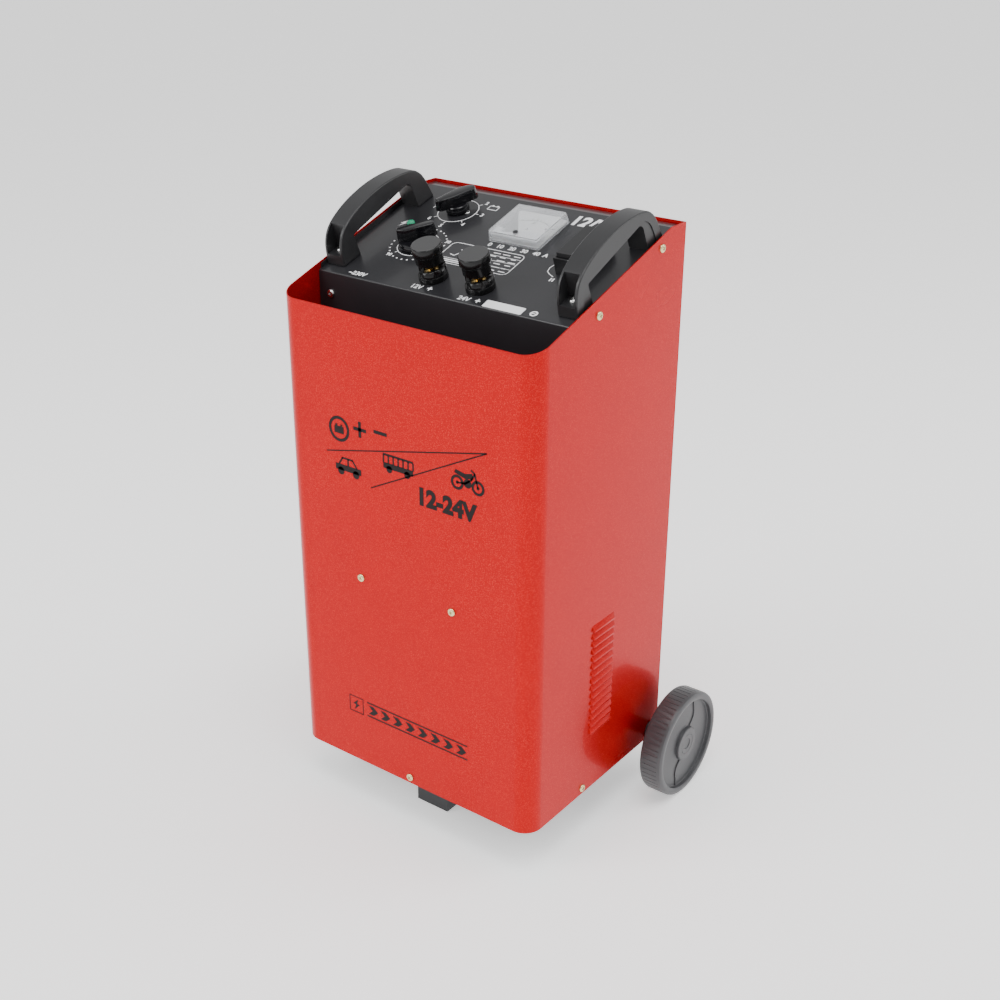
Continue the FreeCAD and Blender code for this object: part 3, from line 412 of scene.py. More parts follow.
def grain_group() -> bpy.types.NodeTree:
    """Group with the fine relief and uneven gloss of a surface."""
    found = bpy.data.node_groups.get("surface_grain")
    if found:
        return found
    group, entry, leave = node_group(
        "surface_grain", {"Vector": None, "Scale": 500.0, "Roughness": 0.4, "Spread": 0.05},
        {"Roughness": "Float", "Height": "Float"})
    fine = add(group, "TexNoise", {"Detail": 4.0})
    broad = add(group, "TexNoise", {"Scale": 14.0, "Detail": 3.0})
    spread = add(group, "Math", operation="MULTIPLY")
    centre = add(group, "Math", {1: 0.5}, operation="SUBTRACT")
    total = add(group, "Math")
    wire(group, (entry, "Vector", fine, "Vector"), (entry, "Vector", broad, "Vector"),
         (entry, "Scale", fine, "Scale"), (broad, "Fac", centre, 0), (centre, 0, spread, 0),
         (entry, "Spread", spread, 1), (spread, 0, total, 0), (entry, "Roughness", total, 1),
         (total, 0, leave, "Roughness"), (fine, "Fac", leave, "Height"))
    return group


def mottle_group() -> bpy.types.NodeTree:
    """Group that lets a colour drift a little, with finer specks in it."""
    found = bpy.data.node_groups.get("colour_drift")
    if found:
        return found
    white = (1.0, 1.0, 1.0, 1.0)
    group, entry, leave = node_group(
        "colour_drift", {"Vector": None, "Base": white, "Drift": white, "Scale": 20.0, "Amount": 0.3},
        {"Color": "Color"})
    noise = add(group, "TexNoise", {"Detail": 6.0, "Roughness": 0.6})
    amount = add(group, "Math", operation="MULTIPLY")
    mix = add(group, "Mix", data_type="RGBA")
    wire(group, (entry, "Vector", noise, "Vector"), (entry, "Scale", noise, "Scale"),
         (noise, "Fac", amount, 0), (entry, "Amount", amount, 1), (amount, 0, mix, "Factor"),
         (entry, "Base", mix, "A"), (entry, "Drift", mix, "B"), (mix, "Result", leave, "Color"))
    return group


@dataclass(frozen=True)
class Finish:
    """A finish: colour that drifts a little, gloss that varies, and a fine relief."""

    name: str
    slot: str
    colour: Colour
    drift: Colour
    roughness: float
    metallic: float = 0.0
    spread: float = 0.06
    drift_scale: float = 24.0
    drift_amount: float = 0.6
    grain: float = 900.0
    relief: float = 0.10
    depth: float = 0.00008
    stretch: Colour = (1.0, 1.0, 1.0)
    coat: float = 0.0
    coat_roughness: float = 0.05
    transmission: float = 0.0
    ior: float = 1.5
    specular: float = 0.5
    flake: Colour | None = None

    def material(self) -> bpy.types.Material:
        """The finish as a node material, built once."""
        found = bpy.data.materials.get(self.name)
        if found:
            return found
        made = bpy.data.materials.new(self.name)
        made.use_nodes = True
        tree = made.node_tree
        shader = tree.nodes["Principled BSDF"]
        where = add(tree, "TexCoord")
        fit = add(tree, "Mapping", {"Scale": self.stretch})
        drift = tree.nodes.new("ShaderNodeGroup")
        drift.node_tree = mottle_group()
        grain = tree.nodes.new("ShaderNodeGroup")
        grain.node_tree = grain_group()
        bump = add(tree, "Bump", {"Strength": self.relief, "Distance": self.depth})
        for node, values in (
                (drift, {"Base": (*self.colour, 1), "Drift": (*self.drift, 1), "Scale": self.drift_scale,
                         "Amount": self.drift_amount}),
                (grain, {"Scale": self.grain, "Roughness": self.roughness, "Spread": self.spread}),
                (shader, {"Metallic": self.metallic, "Coat Weight": self.coat,
                          "Coat Roughness": self.coat_roughness, "Transmission Weight": self.transmission,
                          "IOR": self.ior, "Specular IOR Level": self.specular})):
            for label, value in values.items():
                node.inputs[label].default_value = value
        wire(tree, (where, "Object", fit, "Vector"), (fit, "Vector", drift, "Vector"),
             (fit, "Vector", grain, "Vector"), (grain, "Roughness", shader, "Roughness"),
             (grain, "Height", bump, "Height"), (bump, "Normal", shader, "Normal"))
        if self.flake:
            self.add_flakes(tree, fit, drift, shader)
        else:
            wire(tree, (drift, "Color", shader, "Base Color"))
        return made

    def add_flakes(self, tree: bpy.types.NodeTree, fit: bpy.types.Node, drift: bpy.types.Node,
                   shader: bpy.types.Node) -> None:
        """Scatter brighter flakes over the colour."""
        flakes = add(tree, "TexVoronoi", {"Scale": 1500.0})
        part = add(tree, "SeparateColor")
        rare = add(tree, "MapRange", {"From Min": 0.72, "From Max": 1.0, "To Max": 0.38})
        lit = add(tree, "Mix", data_type="RGBA")
        lit.inputs["B"].default_value = (*self.flake, 1)
        wire(tree, (fit, "Vector", flakes, "Vector"), (flakes, "Color", part, "Color"),
             (part, "Red", rare, "Value"), (rare, "Result", lit, "Factor"),
             (drift, "Color", lit, "A"), (lit, "Result", shader, "Base Color"))

    def dress(self, obj: bpy.types.Object) -> bpy.types.Object:
        """Give a piece this finish all over."""
        obj.data.materials.clear()
        obj.data.materials.append(self.material())
        for face in obj.data.polygons:
            face.material_index = 0
        return obj


RED_PAINT = Finish("red_enamel", "red_paint", (0.46, 0.0, 0.002), (0.38, 0.0, 0.002), 0.26,
                   metallic=0.40, grain=420.0, relief=0.03, coat=0.14, coat_roughness=0.02, specular=0.04,
                   flake=(1.0, 0.06, 0.04))
BLACK_PAINT = Finish("black_enamel", "black_paint", (0.014, 0.014, 0.016), (0.024, 0.024, 0.027), 0.34,
                     grain=700.0, relief=0.06, coat=0.25, coat_roughness=0.12, specular=0.30)
YELLOW_ZINC = Finish("yellow_zinc", "zinc_yellow", (0.74, 0.60, 0.28), (0.62, 0.62, 0.40), 0.26,
                     metallic=1.0, drift_scale=220.0, relief=0.05)
NICKEL = Finish("bright_nickel", "nickel", (0.74, 0.74, 0.73), (0.60, 0.60, 0.60), 0.24, metallic=1.0,
                drift_scale=160.0, relief=0.04)
CLEAR_ZINC = Finish("clear_zinc", "clear_zinc", (0.62, 0.64, 0.67), (0.50, 0.52, 0.56), 0.33,
                    metallic=1.0, drift_scale=120.0)
STEEL = Finish("drawn_steel", "steel", (0.50, 0.50, 0.51), (0.40, 0.40, 0.41), 0.34, metallic=1.0,
               stretch=(0.08, 1.0, 1.0))
HANDLE_PLASTIC = Finish("grained_handle_plastic", "handle_plastic", (0.013, 0.013, 0.014),
                        (0.022, 0.022, 0.024), 0.38, grain=1500.0, relief=0.16, depth=0.0001, specular=0.45)
WHEEL_PLASTIC = Finish("wheel_plastic", "wheel_plastic", (0.014, 0.0135, 0.013), (0.024, 0.023, 0.022),
                       0.46, grain=1100.0, relief=0.20, depth=0.00014, specular=0.35)
KNOB_PLASTIC = Finish("gloss_knob_plastic", "knob_plastic", (0.003, 0.003, 0.004), (0.007, 0.007, 0.009),
                      0.16, relief=0.02, coat=0.25, coat_roughness=0.05, specular=0.30)
CAP_PLASTIC = Finish("gloss_cap_plastic", "cap_plastic", (0.004, 0.004, 0.004), (0.009, 0.009, 0.010),
                     0.20, grain=1300.0, relief=0.05, specular=0.30)
CAP_TOP = Finish("satin_cap_top", "cap_plastic", (0.030, 0.030, 0.031), (0.046, 0.046, 0.047), 0.50,
                 grain=1300.0, relief=0.15)
HOUSING_PLASTIC = Finish("satin_housing_plastic", "cap_plastic", (0.008, 0.008, 0.009), (0.015, 0.015, 0.016),
                         0.34, grain=1300.0, relief=0.12, specular=0.4)
BAKELITE = Finish("brown_bakelite", "bakelite", (0.060, 0.030, 0.018), (0.035, 0.018, 0.012), 0.35)
BRASS = Finish("turned_brass", "brass", (0.76, 0.55, 0.22), (0.62, 0.42, 0.16), 0.22, metallic=1.0,
               drift_scale=90.0, relief=0.05)
COPPER = Finish("enamelled_copper", "copper_wire", (0.46, 0.15, 0.05), (0.30, 0.09, 0.03), 0.30,
                metallic=0.6, stretch=(0.1, 0.1, 6.0), grain=260.0, relief=0.5, depth=0.0005)
LAMINATION = Finish("varnished_lamination", "lamination", (0.17, 0.17, 0.18), (0.10, 0.10, 0.11), 0.42,
                    metallic=0.7, stretch=(0.1, 9.0, 0.1), grain=220.0, relief=0.5, depth=0.0004)
ALUMINIUM = Finish("mill_aluminium", "aluminium", (0.74, 0.75, 0.77), (0.62, 0.63, 0.65), 0.30,
                   metallic=1.0, stretch=(0.1, 1.0, 1.0))
CLEAR_PLASTIC = Finish("clear_cover", "clear_plastic", (0.97, 0.98, 1.0), (0.94, 0.96, 0.98), 0.06,
                       spread=0.02, relief=0.01, transmission=0.80, ior=1.49)
DIAL_CARD = Finish("dial_card", "dial_card", (0.86, 0.86, 0.84), (0.80, 0.80, 0.78), 0.55, relief=0.03)
NEEDLE = Finish("needle_lacquer", "needle_black", (0.010, 0.010, 0.012), (0.020, 0.020, 0.022), 0.30)
GREEN_LENS = Finish("green_lens", "green_lens", (0.004, 0.22, 0.10), (0.010, 0.36, 0.18), 0.10,
                    drift_scale=300.0, transmission=0.45, coat=0.5)
INSULATOR = Finish("moulded_insulator", "insulator", (0.58, 0.54, 0.45), (0.48, 0.44, 0.36), 0.48)
WHITE_PRINT = Finish("white_print", "dial_card", (0.84, 0.84, 0.85), (0.76, 0.76, 0.78), 0.45, relief=0.04)
BLACK_PRINT = Finish("black_print", "black_paint", (0.006, 0.003, 0.003), (0.012, 0.005, 0.005), 0.38,
                     relief=0.04, specular=0.15)
RED_DOT = Finish("red_mark", "red_paint", (0.60, 0.02, 0.02), (0.50, 0.01, 0.01), 0.40)

NODE_FINISHES: dict[str, Finish] = {
    "rear_panel": RED_PAINT, "base_tray": BLACK_PAINT, "cable_bay_floor": BLACK_PAINT, "axle": STEEL,
    "axle_caps": WHEEL_PLASTIC, "foot_bolts": CLEAR_ZINC, "foot_nuts": CLEAR_ZINC,
    "handle_nuts": CLEAR_ZINC, "terminal_studs": BRASS, "terminal_washers": BAKELITE,
    "terminal_nuts": BRASS, "step_switch_body": BAKELITE, "step_switch_shaft": STEEL,
    "timer_body": STEEL, "timer_shaft": STEEL, "pilot_lamp_body": BAKELITE, "meter_body": HOUSING_PLASTIC,
    "transformer_core": LAMINATION, "primary_winding": COPPER, "secondary_winding": COPPER,
    "transformer_clamps": BLACK_PAINT, "transformer_bolts": CLEAR_ZINC, "transformer_nuts": CLEAR_ZINC,
    "clamp_screws": CLEAR_ZINC, "thermal_cutout": BAKELITE, "rectifier_standoffs": INSULATOR,
    "rectifier_screws": NICKEL, "rectifier_plates": ALUMINIUM, "rectifier_diodes": NICKEL,
    "terminal_strip": INSULATOR, "gland_nuts": HANDLE_PLASTIC,
}


def place_piece(obj: bpy.types.Object, finish: Finish, body: str = "chassis",
                *nodes: str) -> bpy.types.Object:
    """Dress a settled piece, let it ride on a body and say which nodes it stands for."""
    finish.dress(obj)
    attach(obj, body)
    if nodes:
        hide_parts(*nodes)
    LOG.info("%s rides on %s in %s", obj.name, body, finish.name)
    return obj


# ---- prints ----------------------------------------------------------------------------------

@dataclass
class Print:
    """A print on a flat face: thin raised ink, drawn in millimetres on the face."""

    sink: float = 0.04
    ink: float = 0.10
    parts: list[bpy.types.Object] = field(default_factory=list)

    def shape(self, points: Sequence[Point]) -> None:
        """A filled outline."""
        self.parts.append(slab(points, -self.sink, self.ink))

    def bar(self, low: Point, high: Point) -> None:
        """A filled rectangle."""
        self.parts.append(cuboid((*low, -self.sink), (*high, self.ink)))

    def disc(self, centre: Point, radius: float, sides: int = 24) -> None:
        """A filled circle."""
        self.parts.append(drum(radius, -self.sink, self.ink, centre, sides))

    def ring(self, centre: Point, radius: float, width: float, steps: int = 48) -> None:
        """A circle's line."""
        inner, outer = radius - width / 2, radius + width / 2
        profile = [(inner, -self.sink), (outer, -self.sink), (outer, self.ink), (inner, self.ink),
                   (inner, -self.sink)]
        ring = lathe(profile, "ring", steps)
        self.parts.append(settle(ring, Matrix.Translation((*centre, 0))))

    def line(self, points: Sequence[Point], width: float) -> None:
        """A line of straight runs with round joints."""
        for a, b in zip(points, points[1:]):
            run = Vector(b) - Vector(a)
            stroke = cuboid((0, -width / 2, -self.sink), (run.length, width / 2, self.ink))
            turn = Matrix.Rotation(math.atan2(run.y, run.x), 4, "Z")
            self.parts.append(settle(stroke, Matrix.Translation((*a, 0)) @ turn))
        for point in points[1:-1]:
            self.disc(point, width / 2, 12)

    def box_line(self, middle: Point, half: Point, width: float) -> None:
        """The outline of a rectangle."""
        (x, y), (a, b) = middle, half
        self.line([(x - a, y - b), (x + a, y - b), (x + a, y + b), (x - a, y + b), (x - a, y - b)], width)

    def word(self, text: str, centre: Point, size: float, turn: float = 0.0, weight: float = 0.0) -> None:
        """Figures or signs, centred on a point.

        Args:
            text: The characters.
            centre: Where their middle goes.
            size: Letter size.
            turn: Degrees anticlockwise.
            weight: How much the strokes are thickened.
        """
        clear_selection()
        bpy.ops.object.text_add(location=(0, 0, 0))
        obj = bpy.context.object
        obj.data.body = text
        obj.data.size = size
        obj.data.align_x = "CENTER"
        obj.data.align_y = "CENTER"
        obj.data.extrude = (self.ink + self.sink) / 2
        obj.data.offset = weight
        obj.data.resolution_u = 4
        bpy.ops.object.convert(target="MESH")
        obj = bpy.context.object
        lift = Matrix.Translation((*centre, (self.ink - self.sink) / 2))
        self.parts.append(settle(obj, lift @ Matrix.Rotation(math.radians(turn), 4, "Z")))

    def finish(self, name: str, place: Matrix, finish: Finish, body: str = "chassis") -> bpy.types.Object:
        """Join all that was drawn, and put it on its face."""
        obj = settle(join(self.parts, name), place)
        return place_piece(obj, finish, body)


# ---- sub-assemblies --------------------------------------------------------------------------

@dataclass
class Case:
    """Red case: bent wrap with its louvres, rear panel, and the pictograms on the front."""

    wrap_edge: float = 0.35
    hood_length: float = 41.4
    hood_pitch: float = 9.2
    hood_count: int = 15
    hood_first: float = 73.0
    hood_start: float = 110.6
    hood_proud: float = 2.6

    def build(self) -> None:
        """Build the case."""
        wrap = refined("shell_wrap", "case_wrap", self.wrap_edge, 2, 50)
        place_piece(wrap, RED_PAINT)
        self.louvres()
        self.front_print()

    def face_origin(self, facing: Facing) -> Vector:
        """Lower front corner or middle of a face, where its drawings start."""
        low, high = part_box("rear_panel")
        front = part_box("shell_wrap")[0].y
        return {
            Facing.FRONT: Vector((0, front, low.z)), Facing.RIGHT: Vector((high.x, front, low.z)),
            Facing.LEFT: Vector((low.x, front, low.z)), Facing.REAR: Vector((0, high.y, low.z)),
        }[facing]

    def louvres(self) -> None:
        """Pressed hoods, one modelled and repeated up each side."""
        for facing, name, sign in ((Facing.RIGHT, "louvres_right", 1), (Facing.LEFT, "louvres_left", -1)):
            hood = cuboid((0, 0.6, -0.6), (self.hood_length, 8.2, 0.2), name)
            with editing(hood) as mesh:
                pick(mesh, mesh.faces, looks_up)
                bpy.ops.mesh.extrude_region_move(TRANSFORM_OT_translate={"value": (0, -1.6, self.hood_proud)})
                bpy.ops.transform.resize(value=(0.93, 0.30, 1), center_override=(
                    self.hood_length / 2, 1.2, self.hood_proud))
            round_off(hood, 0.7, 3, 20)
            smooth(hood, 50)
            modify(hood, "ARRAY", count=self.hood_count, use_relative_offset=False,
                   use_constant_offset=True, constant_offset_displace=(0, self.hood_pitch, 0))
            start = Vector((0, self.hood_start, self.hood_first)) * MM
            place = on_face(facing, self.face_origin(facing) + start)
            if sign < 0:
                place = place @ Matrix.Translation((-self.hood_length, 0, 0))
            place_piece(settle(hood, place), RED_PAINT)

    def front_print(self) -> None:
        """Road lines, vehicle pictograms, voltage figures and a bolt in a square."""
        ink = Print()
        ink.line([(-105, 381), (108, 432)], 1.5)
        ink.line([(-44, 354), (108, 432)], 1.5)
        self.car(ink, -75, 361)
        self.bus(ink, -6, 382)
        self.motorcycle(ink, 84, 396)
        self.battery(ink, -86, 410)
        ink.bar((-66, 414), (-48, 418))
        ink.bar((-59, 407), (-55, 425))
        ink.bar((-38, 417), (-20, 421))
        ink.word("12-24V", (56, 362), 26, weight=1.5)
        self.bolt_sign(ink, -78, 74)
        ink.line([(-62, 65.6), (82, 65.6)], 2.0)
        ink.line([(-62, 83), (82, 83)], 2.0)
        for i in range(8):
            x = -53 + i * 18
            ink.shape([(x - 7, 68.6), (x + 1, 68.6), (x + 7.5, 74.3), (x + 1, 80), (x - 7, 80),
                       (x - 1, 74.3)])
        ink.finish("front_pictograms", on_face(Facing.FRONT, self.face_origin(Facing.FRONT)), BLACK_PRINT)

    def car(self, ink: Print, x: float, y: float) -> None:
        """A car seen from the side."""
        ink.bar((x - 18, y + 2.4), (x + 18, y + 9.4))
        ink.line([(x - 13, y + 9), (x - 8, y + 17), (x + 6, y + 17), (x + 12, y + 9)], 2.2)
        ink.bar((x - 1.4, y + 9), (x + 1, y + 17))
        for wheel in (-10.5, 10.5):
            ink.disc((x + wheel, y + 1.6), 4.6)

    def bus(self, ink: Print, x: float, y: float) -> None:
        """A bus seen from the side."""
        ink.bar((x - 20, y), (x + 20, y + 6.6))
        ink.line([(x - 20, y + 15.4), (x + 20, y + 15.4)], 2.6)
        for i in range(7):
            ink.bar((x - 20.6 + i * 6.6, y + 6), (x - 18.4 + i * 6.6, y + 15))
        for wheel in (-12, 12):
            ink.disc((x + wheel, y - 0.4), 4.0)

    def motorcycle(self, ink: Print, x: float, y: float) -> None:
        """A motorcycle seen from the side."""
        for wheel in (-13, 13):
            ink.ring((x + wheel, y - 4), 6.6, 3.2, 28)
            ink.disc((x + wheel, y - 4), 1.9)
        ink.line([(x - 13, y - 4), (x - 3, y - 3), (x + 5, y + 3), (x + 9, y + 10), (x + 13, y - 4)], 2.2)
        ink.shape([(x - 17, y + 6), (x - 3, y + 2), (x + 7, y + 4), (x + 6, y + 10), (x - 3, y + 7.6),
                   (x - 15, y + 10)])
        ink.disc((x, y - 2.4), 5.0)
        ink.line([(x + 4, y + 13.4), (x + 10, y + 10)], 2.2)

    def battery(self, ink: Print, x: float, y: float) -> None:
        """A battery sign in a round badge."""
        ink.ring((x, y), 12.6, 3.6, 40)
        ink.bar((x - 6.6, y - 5), (x + 6.6, y + 3.2))
        ink.bar((x - 5, y + 3.2), (x - 2, y + 5.6))
        ink.bar((x + 2, y + 3.2), (x + 5, y + 5.6))

    def bolt_sign(self, ink: Print, x: float, y: float) -> None:
        """A lightning bolt in a square."""
        ink.box_line((x, y), (10, 10), 1.3)
        ink.shape([(x + 3, y + 7.5), (x - 5, y + 0.4), (x - 0.8, y - 0.4), (x - 3.2, y - 7.5),
                   (x + 5, y + 0.4), (x + 0.8, y + 1.2)])


@dataclass
class ControlPanel:
    """Black panel with its prints."""

    fold: float = 0.9

    def build(self) -> None:
        """Build the panel and its prints."""
        place_piece(refined("control_panel", "panel_sheet", self.fold, 3, 12), BLACK_PAINT)
        self.labels()
        self.scales()
        label = slab(rounded_box((53, 1.2), (100, 12.6), 1.2), -0.02, 0.18, "blank_label")
        place_piece(settle(label, PANEL.place(0, 0)), WHITE_PRINT)

    def labels(self) -> None:
        """Signs by the terminals, the table and the large figures."""
        ink = Print()
        for text, spot, size in (("12V", (-35, 8), 9.0), ("+", (-18.5, 8.6), 12), ("24V", (27.5, 6.2), 9.0),
                                 ("+", (44, 6.8), 12), ("~230V", (-114.5, 7), 8.6)):
            ink.word(text, spot, size, weight=0.28)
        ink.ring((112, 7.6), 3.4, 1.8, 24)
        ink.bar((109.8, 7.0), (114.2, 8.2))
        self.table(ink)
        ink.word("0   10   20   30   40  A", (27, 101.4), 8.4, weight=0.26)
        ink.word("12/24", (76, 170.5), 24, weight=0.9)
        ink.line([(82, 92), (79.5, 84), (81, 77), (86, 73), (92.6, 69.8)], 0.9)
        ink.bar((92, 62), (93.6, 67.5))
        ink.bar((95, 62), (96.6, 67.5))
        ink.finish("panel_labels", PANEL.place(0, 0), WHITE_PRINT)

    def table(self, ink: Print) -> None:
        """Round-cornered table of small entries between the terminals and the meter."""
        frame_line = rounded_box((-50, 56), (43, 94), 6)
        ink.line([*frame_line, frame_line[0]], 0.9)
        for y in (66, 76, 85):
            ink.line([(2, y), (42, y)], 0.5)
        for i in range(6):
            for x, length in ((5, 9), (17, 11), (31, 9)):
                ink.bar((x, 59.6 + i * 5.8), (x + length - (i * 3 + x) % 5, 60.9 + i * 5.8))
        for i in range(2):
            ink.bar((-47, 58.6 + i * 3.0), (-8 - i * 3, 60.2 + i * 3.0))
        ink.line([(-48, 65.4), (-3, 65.4)], 0.6)
        ink.shape([(-33, 83), (-21, 88), (-26, 77)])
        ink.line([(-28, 81), (-34, 71), (-40, 72.5)], 1.2)

    def scales(self) -> None:
        """Printed scales round the two knobs, with the signs beside them."""
        ink = Print()
        ink.ring(SWITCH_SPOT, 23, 0.9, 64)
        for i in range(8):
            angle = 135 - 45 * i
            ink.line([polar(SWITCH_SPOT, 23, angle), polar(SWITCH_SPOT, 27.5, angle)], 0.9)
            ink.word(str(i), polar(SWITCH_SPOT, 32.5, angle), 7.6, weight=0.22)
        self.battery_sign(ink, -51, 166)
        ink.ring(TIMER_SPOT, 22.8, 0.9, 64)
        for i in range(25):
            angle = 100 - 12.5 * i
            if i % 6:
                ink.disc(polar(TIMER_SPOT, 31, angle), 1.05, 12)
            else:
                ink.line([polar(TIMER_SPOT, 23, angle), polar(TIMER_SPOT, 26.5, angle)], 0.9)
                ink.word(str(i * 5), polar(TIMER_SPOT, 33, angle), 6.8, weight=0.2)
        ink.shape([(-130, 116), (-136, 108), (-132.5, 108.4), (-135, 102), (-128, 110.5), (-131.5, 110)])
        ink.finish("panel_scales", PANEL.place(0, 0), WHITE_PRINT)

    def battery_sign(self, ink: Print, x: float, y: float) -> None:
        """A small battery outline with its two poles."""
        ink.box_line((x, y), (6, 3.5), 0.9)
        ink.bar((x - 4.4, y + 3.5), (x - 2, y + 5.6))
        ink.bar((x + 2, y + 3.5), (x + 4.4, y + 5.6))


@dataclass
class Handles:
    """Two moulded carrying handles, rounded over, with a screw pocket at each end."""

    middle: float = 149.0
    width: float = 24.0
    round_over: float = 1.5

    def build(self) -> None:
        """Model one handle and place it on both sides."""
        for end, side in (("right", 1), ("left", -1)):
            handle = self.model(side, "handle_grip_" + end)
            turn = Matrix.Rotation(math.radians(90), 4, "Z") @ Matrix.Rotation(math.radians(90), 4, "X")
            place = PANEL.place(side * self.middle, 0) @ turn
            place_piece(settle(handle, place), HANDLE_PLASTIC, "chassis", "handle_" + end)

    def model(self, side: int, name: str) -> bpy.types.Object:
        """A handle in its own frame: X up the slope, Y away from the panel, Z across.

        Args:
            side: 1 for the right handle and -1 for the left one.
            name: Name of the piece.

        Returns:
            The handle.
        """
        half = self.width / 2
        top = curve_through([(13.4, 14), (16.5, 25), (24, 35.6), (38, 43.4), (62, 49.7), (93, 52.1),
                             (122, 49.5), (146, 43.3), (157, 34.6), (163, 23.5), (166.5, 12)], 5)
        obj = slab([(12, 0), *top, (170, 0)], -half, half, name)
        round_off(obj, self.round_over, 4, 40)
        gap = [(40.2, -4), *arc((39.6, 23.2), 2.4, 172, 96, 5), *arc((131, 25.6), 8, 88, 8, 7), (143, -4)]
        front = slab([(4, 12), (31, 12), (30, 38), (30, 62), (4, 62)], -9, 9)
        rear = slab([(149, 12), (178, 12), (178, 62), (152, 62), (152, 34)], -9, 9)
        relief = slab(curve_through([(24, -2), (25, 16), (31, 27), (46, 36), (93, 43.5), (134, 38), (149, 28),
                                     (155, 12), (157, -2)], 4), half - 1.1, half + 3)
        if side < 0:
            relief = settle(relief, Matrix.Translation((0, 0, -2 * half - 1.9)))
        carve(obj, slab(gap, -half - 5, half + 5), front, rear, relief)
        round_off(obj, 0.5, 2, 50)
        smooth(obj, 36)
        modify(obj, "WEIGHTED_NORMAL", keep_sharp=True, weight=100)
        return obj


@dataclass
class Terminals:
    """Output terminals: moulded bases with a cable mouth, brass clamps and screw caps."""

    spots: tuple[tuple[str, float], ...] = (("12v", -28.0), ("24v", 32.5))
    along: float = 28.5

    def build(self) -> None:
        """Build both terminals."""
        bases = []
        for name, across in self.spots:
            place = PANEL.place(across, self.along)
            bases.append(settle(self.base(), place))
            clamp = lathe([(4.2, 14), (7.2, 14), (8, 14.8), (8, 19), (7.4, 19.4), (8, 19.8), (8, 30),
                           (4.2, 30), (4.2, 14)], "clamp_" + name, 48)
            smooth(clamp)
            place_piece(settle(clamp, place), BRASS, "clamp_" + name, "terminal_clamp_" + name)
            cap = settle(self.cap("cap_" + name), place)
            place_piece(cap, CAP_PLASTIC, "cap_" + name, "terminal_cap_" + name)
            disc = lathe([(0, 39.7), (14.6, 39.7), (14.9, 39.85), (14.7, 39.98), (0, 40)],
                         "cap_top_" + name, 64)
            smooth(disc)
            place_piece(settle(disc, place), CAP_TOP, "cap_" + name)
        place_piece(join(bases, "terminal_sockets"), CAP_PLASTIC, "chassis", "terminal_bases")

    def base(self) -> bpy.types.Object:
        """A base: a cup with a moulded foot ring, open to the front left for the cable."""
        obj = lathe([(4.3, -9), (8, -9), (8, 0), (15.2, 0), (15.5, 0.8), (15.3, 6), (15.0, 6.4), (15.3, 6.8),
                     (15.2, 14), (14.7, 14.5), (11.4, 14.5), (11, 14), (11, 6), (4.3, 6), (4.3, -9)],
                    "base", 64)
        carve(obj, slab([(-5, -6), (6, 5), (-6, 17), (-17, 6)], 6.02, 20))
        settle(obj, Matrix.Rotation(math.radians(90), 4, "Z"))
        round_off(obj, 0.25, 2, 40)
        smooth(obj)
        return obj

    def cap(self, name: str) -> bpy.types.Object:
        """A cap: tapered head with a flat top over a plain neck."""
        obj = lathe([(8.2, 19.3), (14.0, 19.3), (14.6, 20), (14.6, 28.8), (14.8, 29.4), (15.6, 29.9),
                     (16.1, 30.6), (16.3, 31.6), (15.95, 38.9), (15.4, 39.6), (14.7, 39.85), (0, 39.85)], name, 72)
        smooth(obj, 40)
        return obj


@dataclass
class Knobs:
    """Pointer knobs of the step switch and the timer: a wing of its own outline on a round base."""

    top: float = 22.0
    switch_wing: tuple[Point, ...] = (
        (-14, -17), (-14.2, -19.4), (-12, -21), (-8.5, -21.2), (-5, -20), (4.5, -8), (10.4, 4), (16.5, 16),
        (15.2, 20.2), (12, 23), (8, 22.9), (4, 21), (-3, 14))
    timer_wing: tuple[Point, ...] = (
        (-18, -9), (-16.6, -12.4), (-14, -14), (-4, -11), (17, 10), (18, 13), (17, 16), (14.4, 17.6),
        (11, 17), (-10, 1))

    def build(self) -> None:
        """Build both knobs and the pointer dot."""
        place = PANEL.place(*SWITCH_SPOT)
        base = [(0, 1.5), (12.5, 1.5), (13, 2.1), (13, 9.2), (12.2, 10), (0, 10.3)]
        knob = self.knob("step_knob", self.switch_wing, 9, base)
        place_piece(settle(knob, place), KNOB_PLASTIC, "step_switch_rotor", "step_switch_knob")
        dot = lathe([(0, self.top - 0.4), (1.5, self.top - 0.4), (1.4, self.top - 0.02), (0, self.top)],
                    "pointer_dot", 20)
        settle(dot, Matrix.Translation((10.5, 17.5, 0)))
        place_piece(settle(dot, place), RED_DOT, "step_switch_rotor")
        base = [(0, 1.5), (19.9, 1.5), (20.5, 2.2), (20.3, 5.8), (19.2, 7.2), (16, 8), (0, 8.4)]
        knob = self.knob("timer_dial_knob", self.timer_wing, 7, base)
        place_piece(settle(knob, PANEL.place(*TIMER_SPOT)), KNOB_PLASTIC, "timer_rotor", "timer_knob")

    def knob(self, name: str, wing: Sequence[Point], low: float, base: Sequence[Point]) -> bpy.types.Object:
        """A knob in its own frame.

        Args:
            name: Name of the piece.
            wing: Outline of the wing.
            low: Height of the wing's underside.
            base: Profile of the round base.

        Returns:
            The knob.
        """
        fin = slab(wing, low, self.top, "wing")
        with editing(fin) as mesh:
            pick(mesh, mesh.faces, looks_up)
            bpy.ops.transform.resize(value=(0.93, 0.93, 1))
        round_off(fin, 1.0, 3, 35)
        skirt = lathe(base, "skirt", 64)
        obj = join([skirt, fin], name)
        smooth(obj, 36)
        return obj


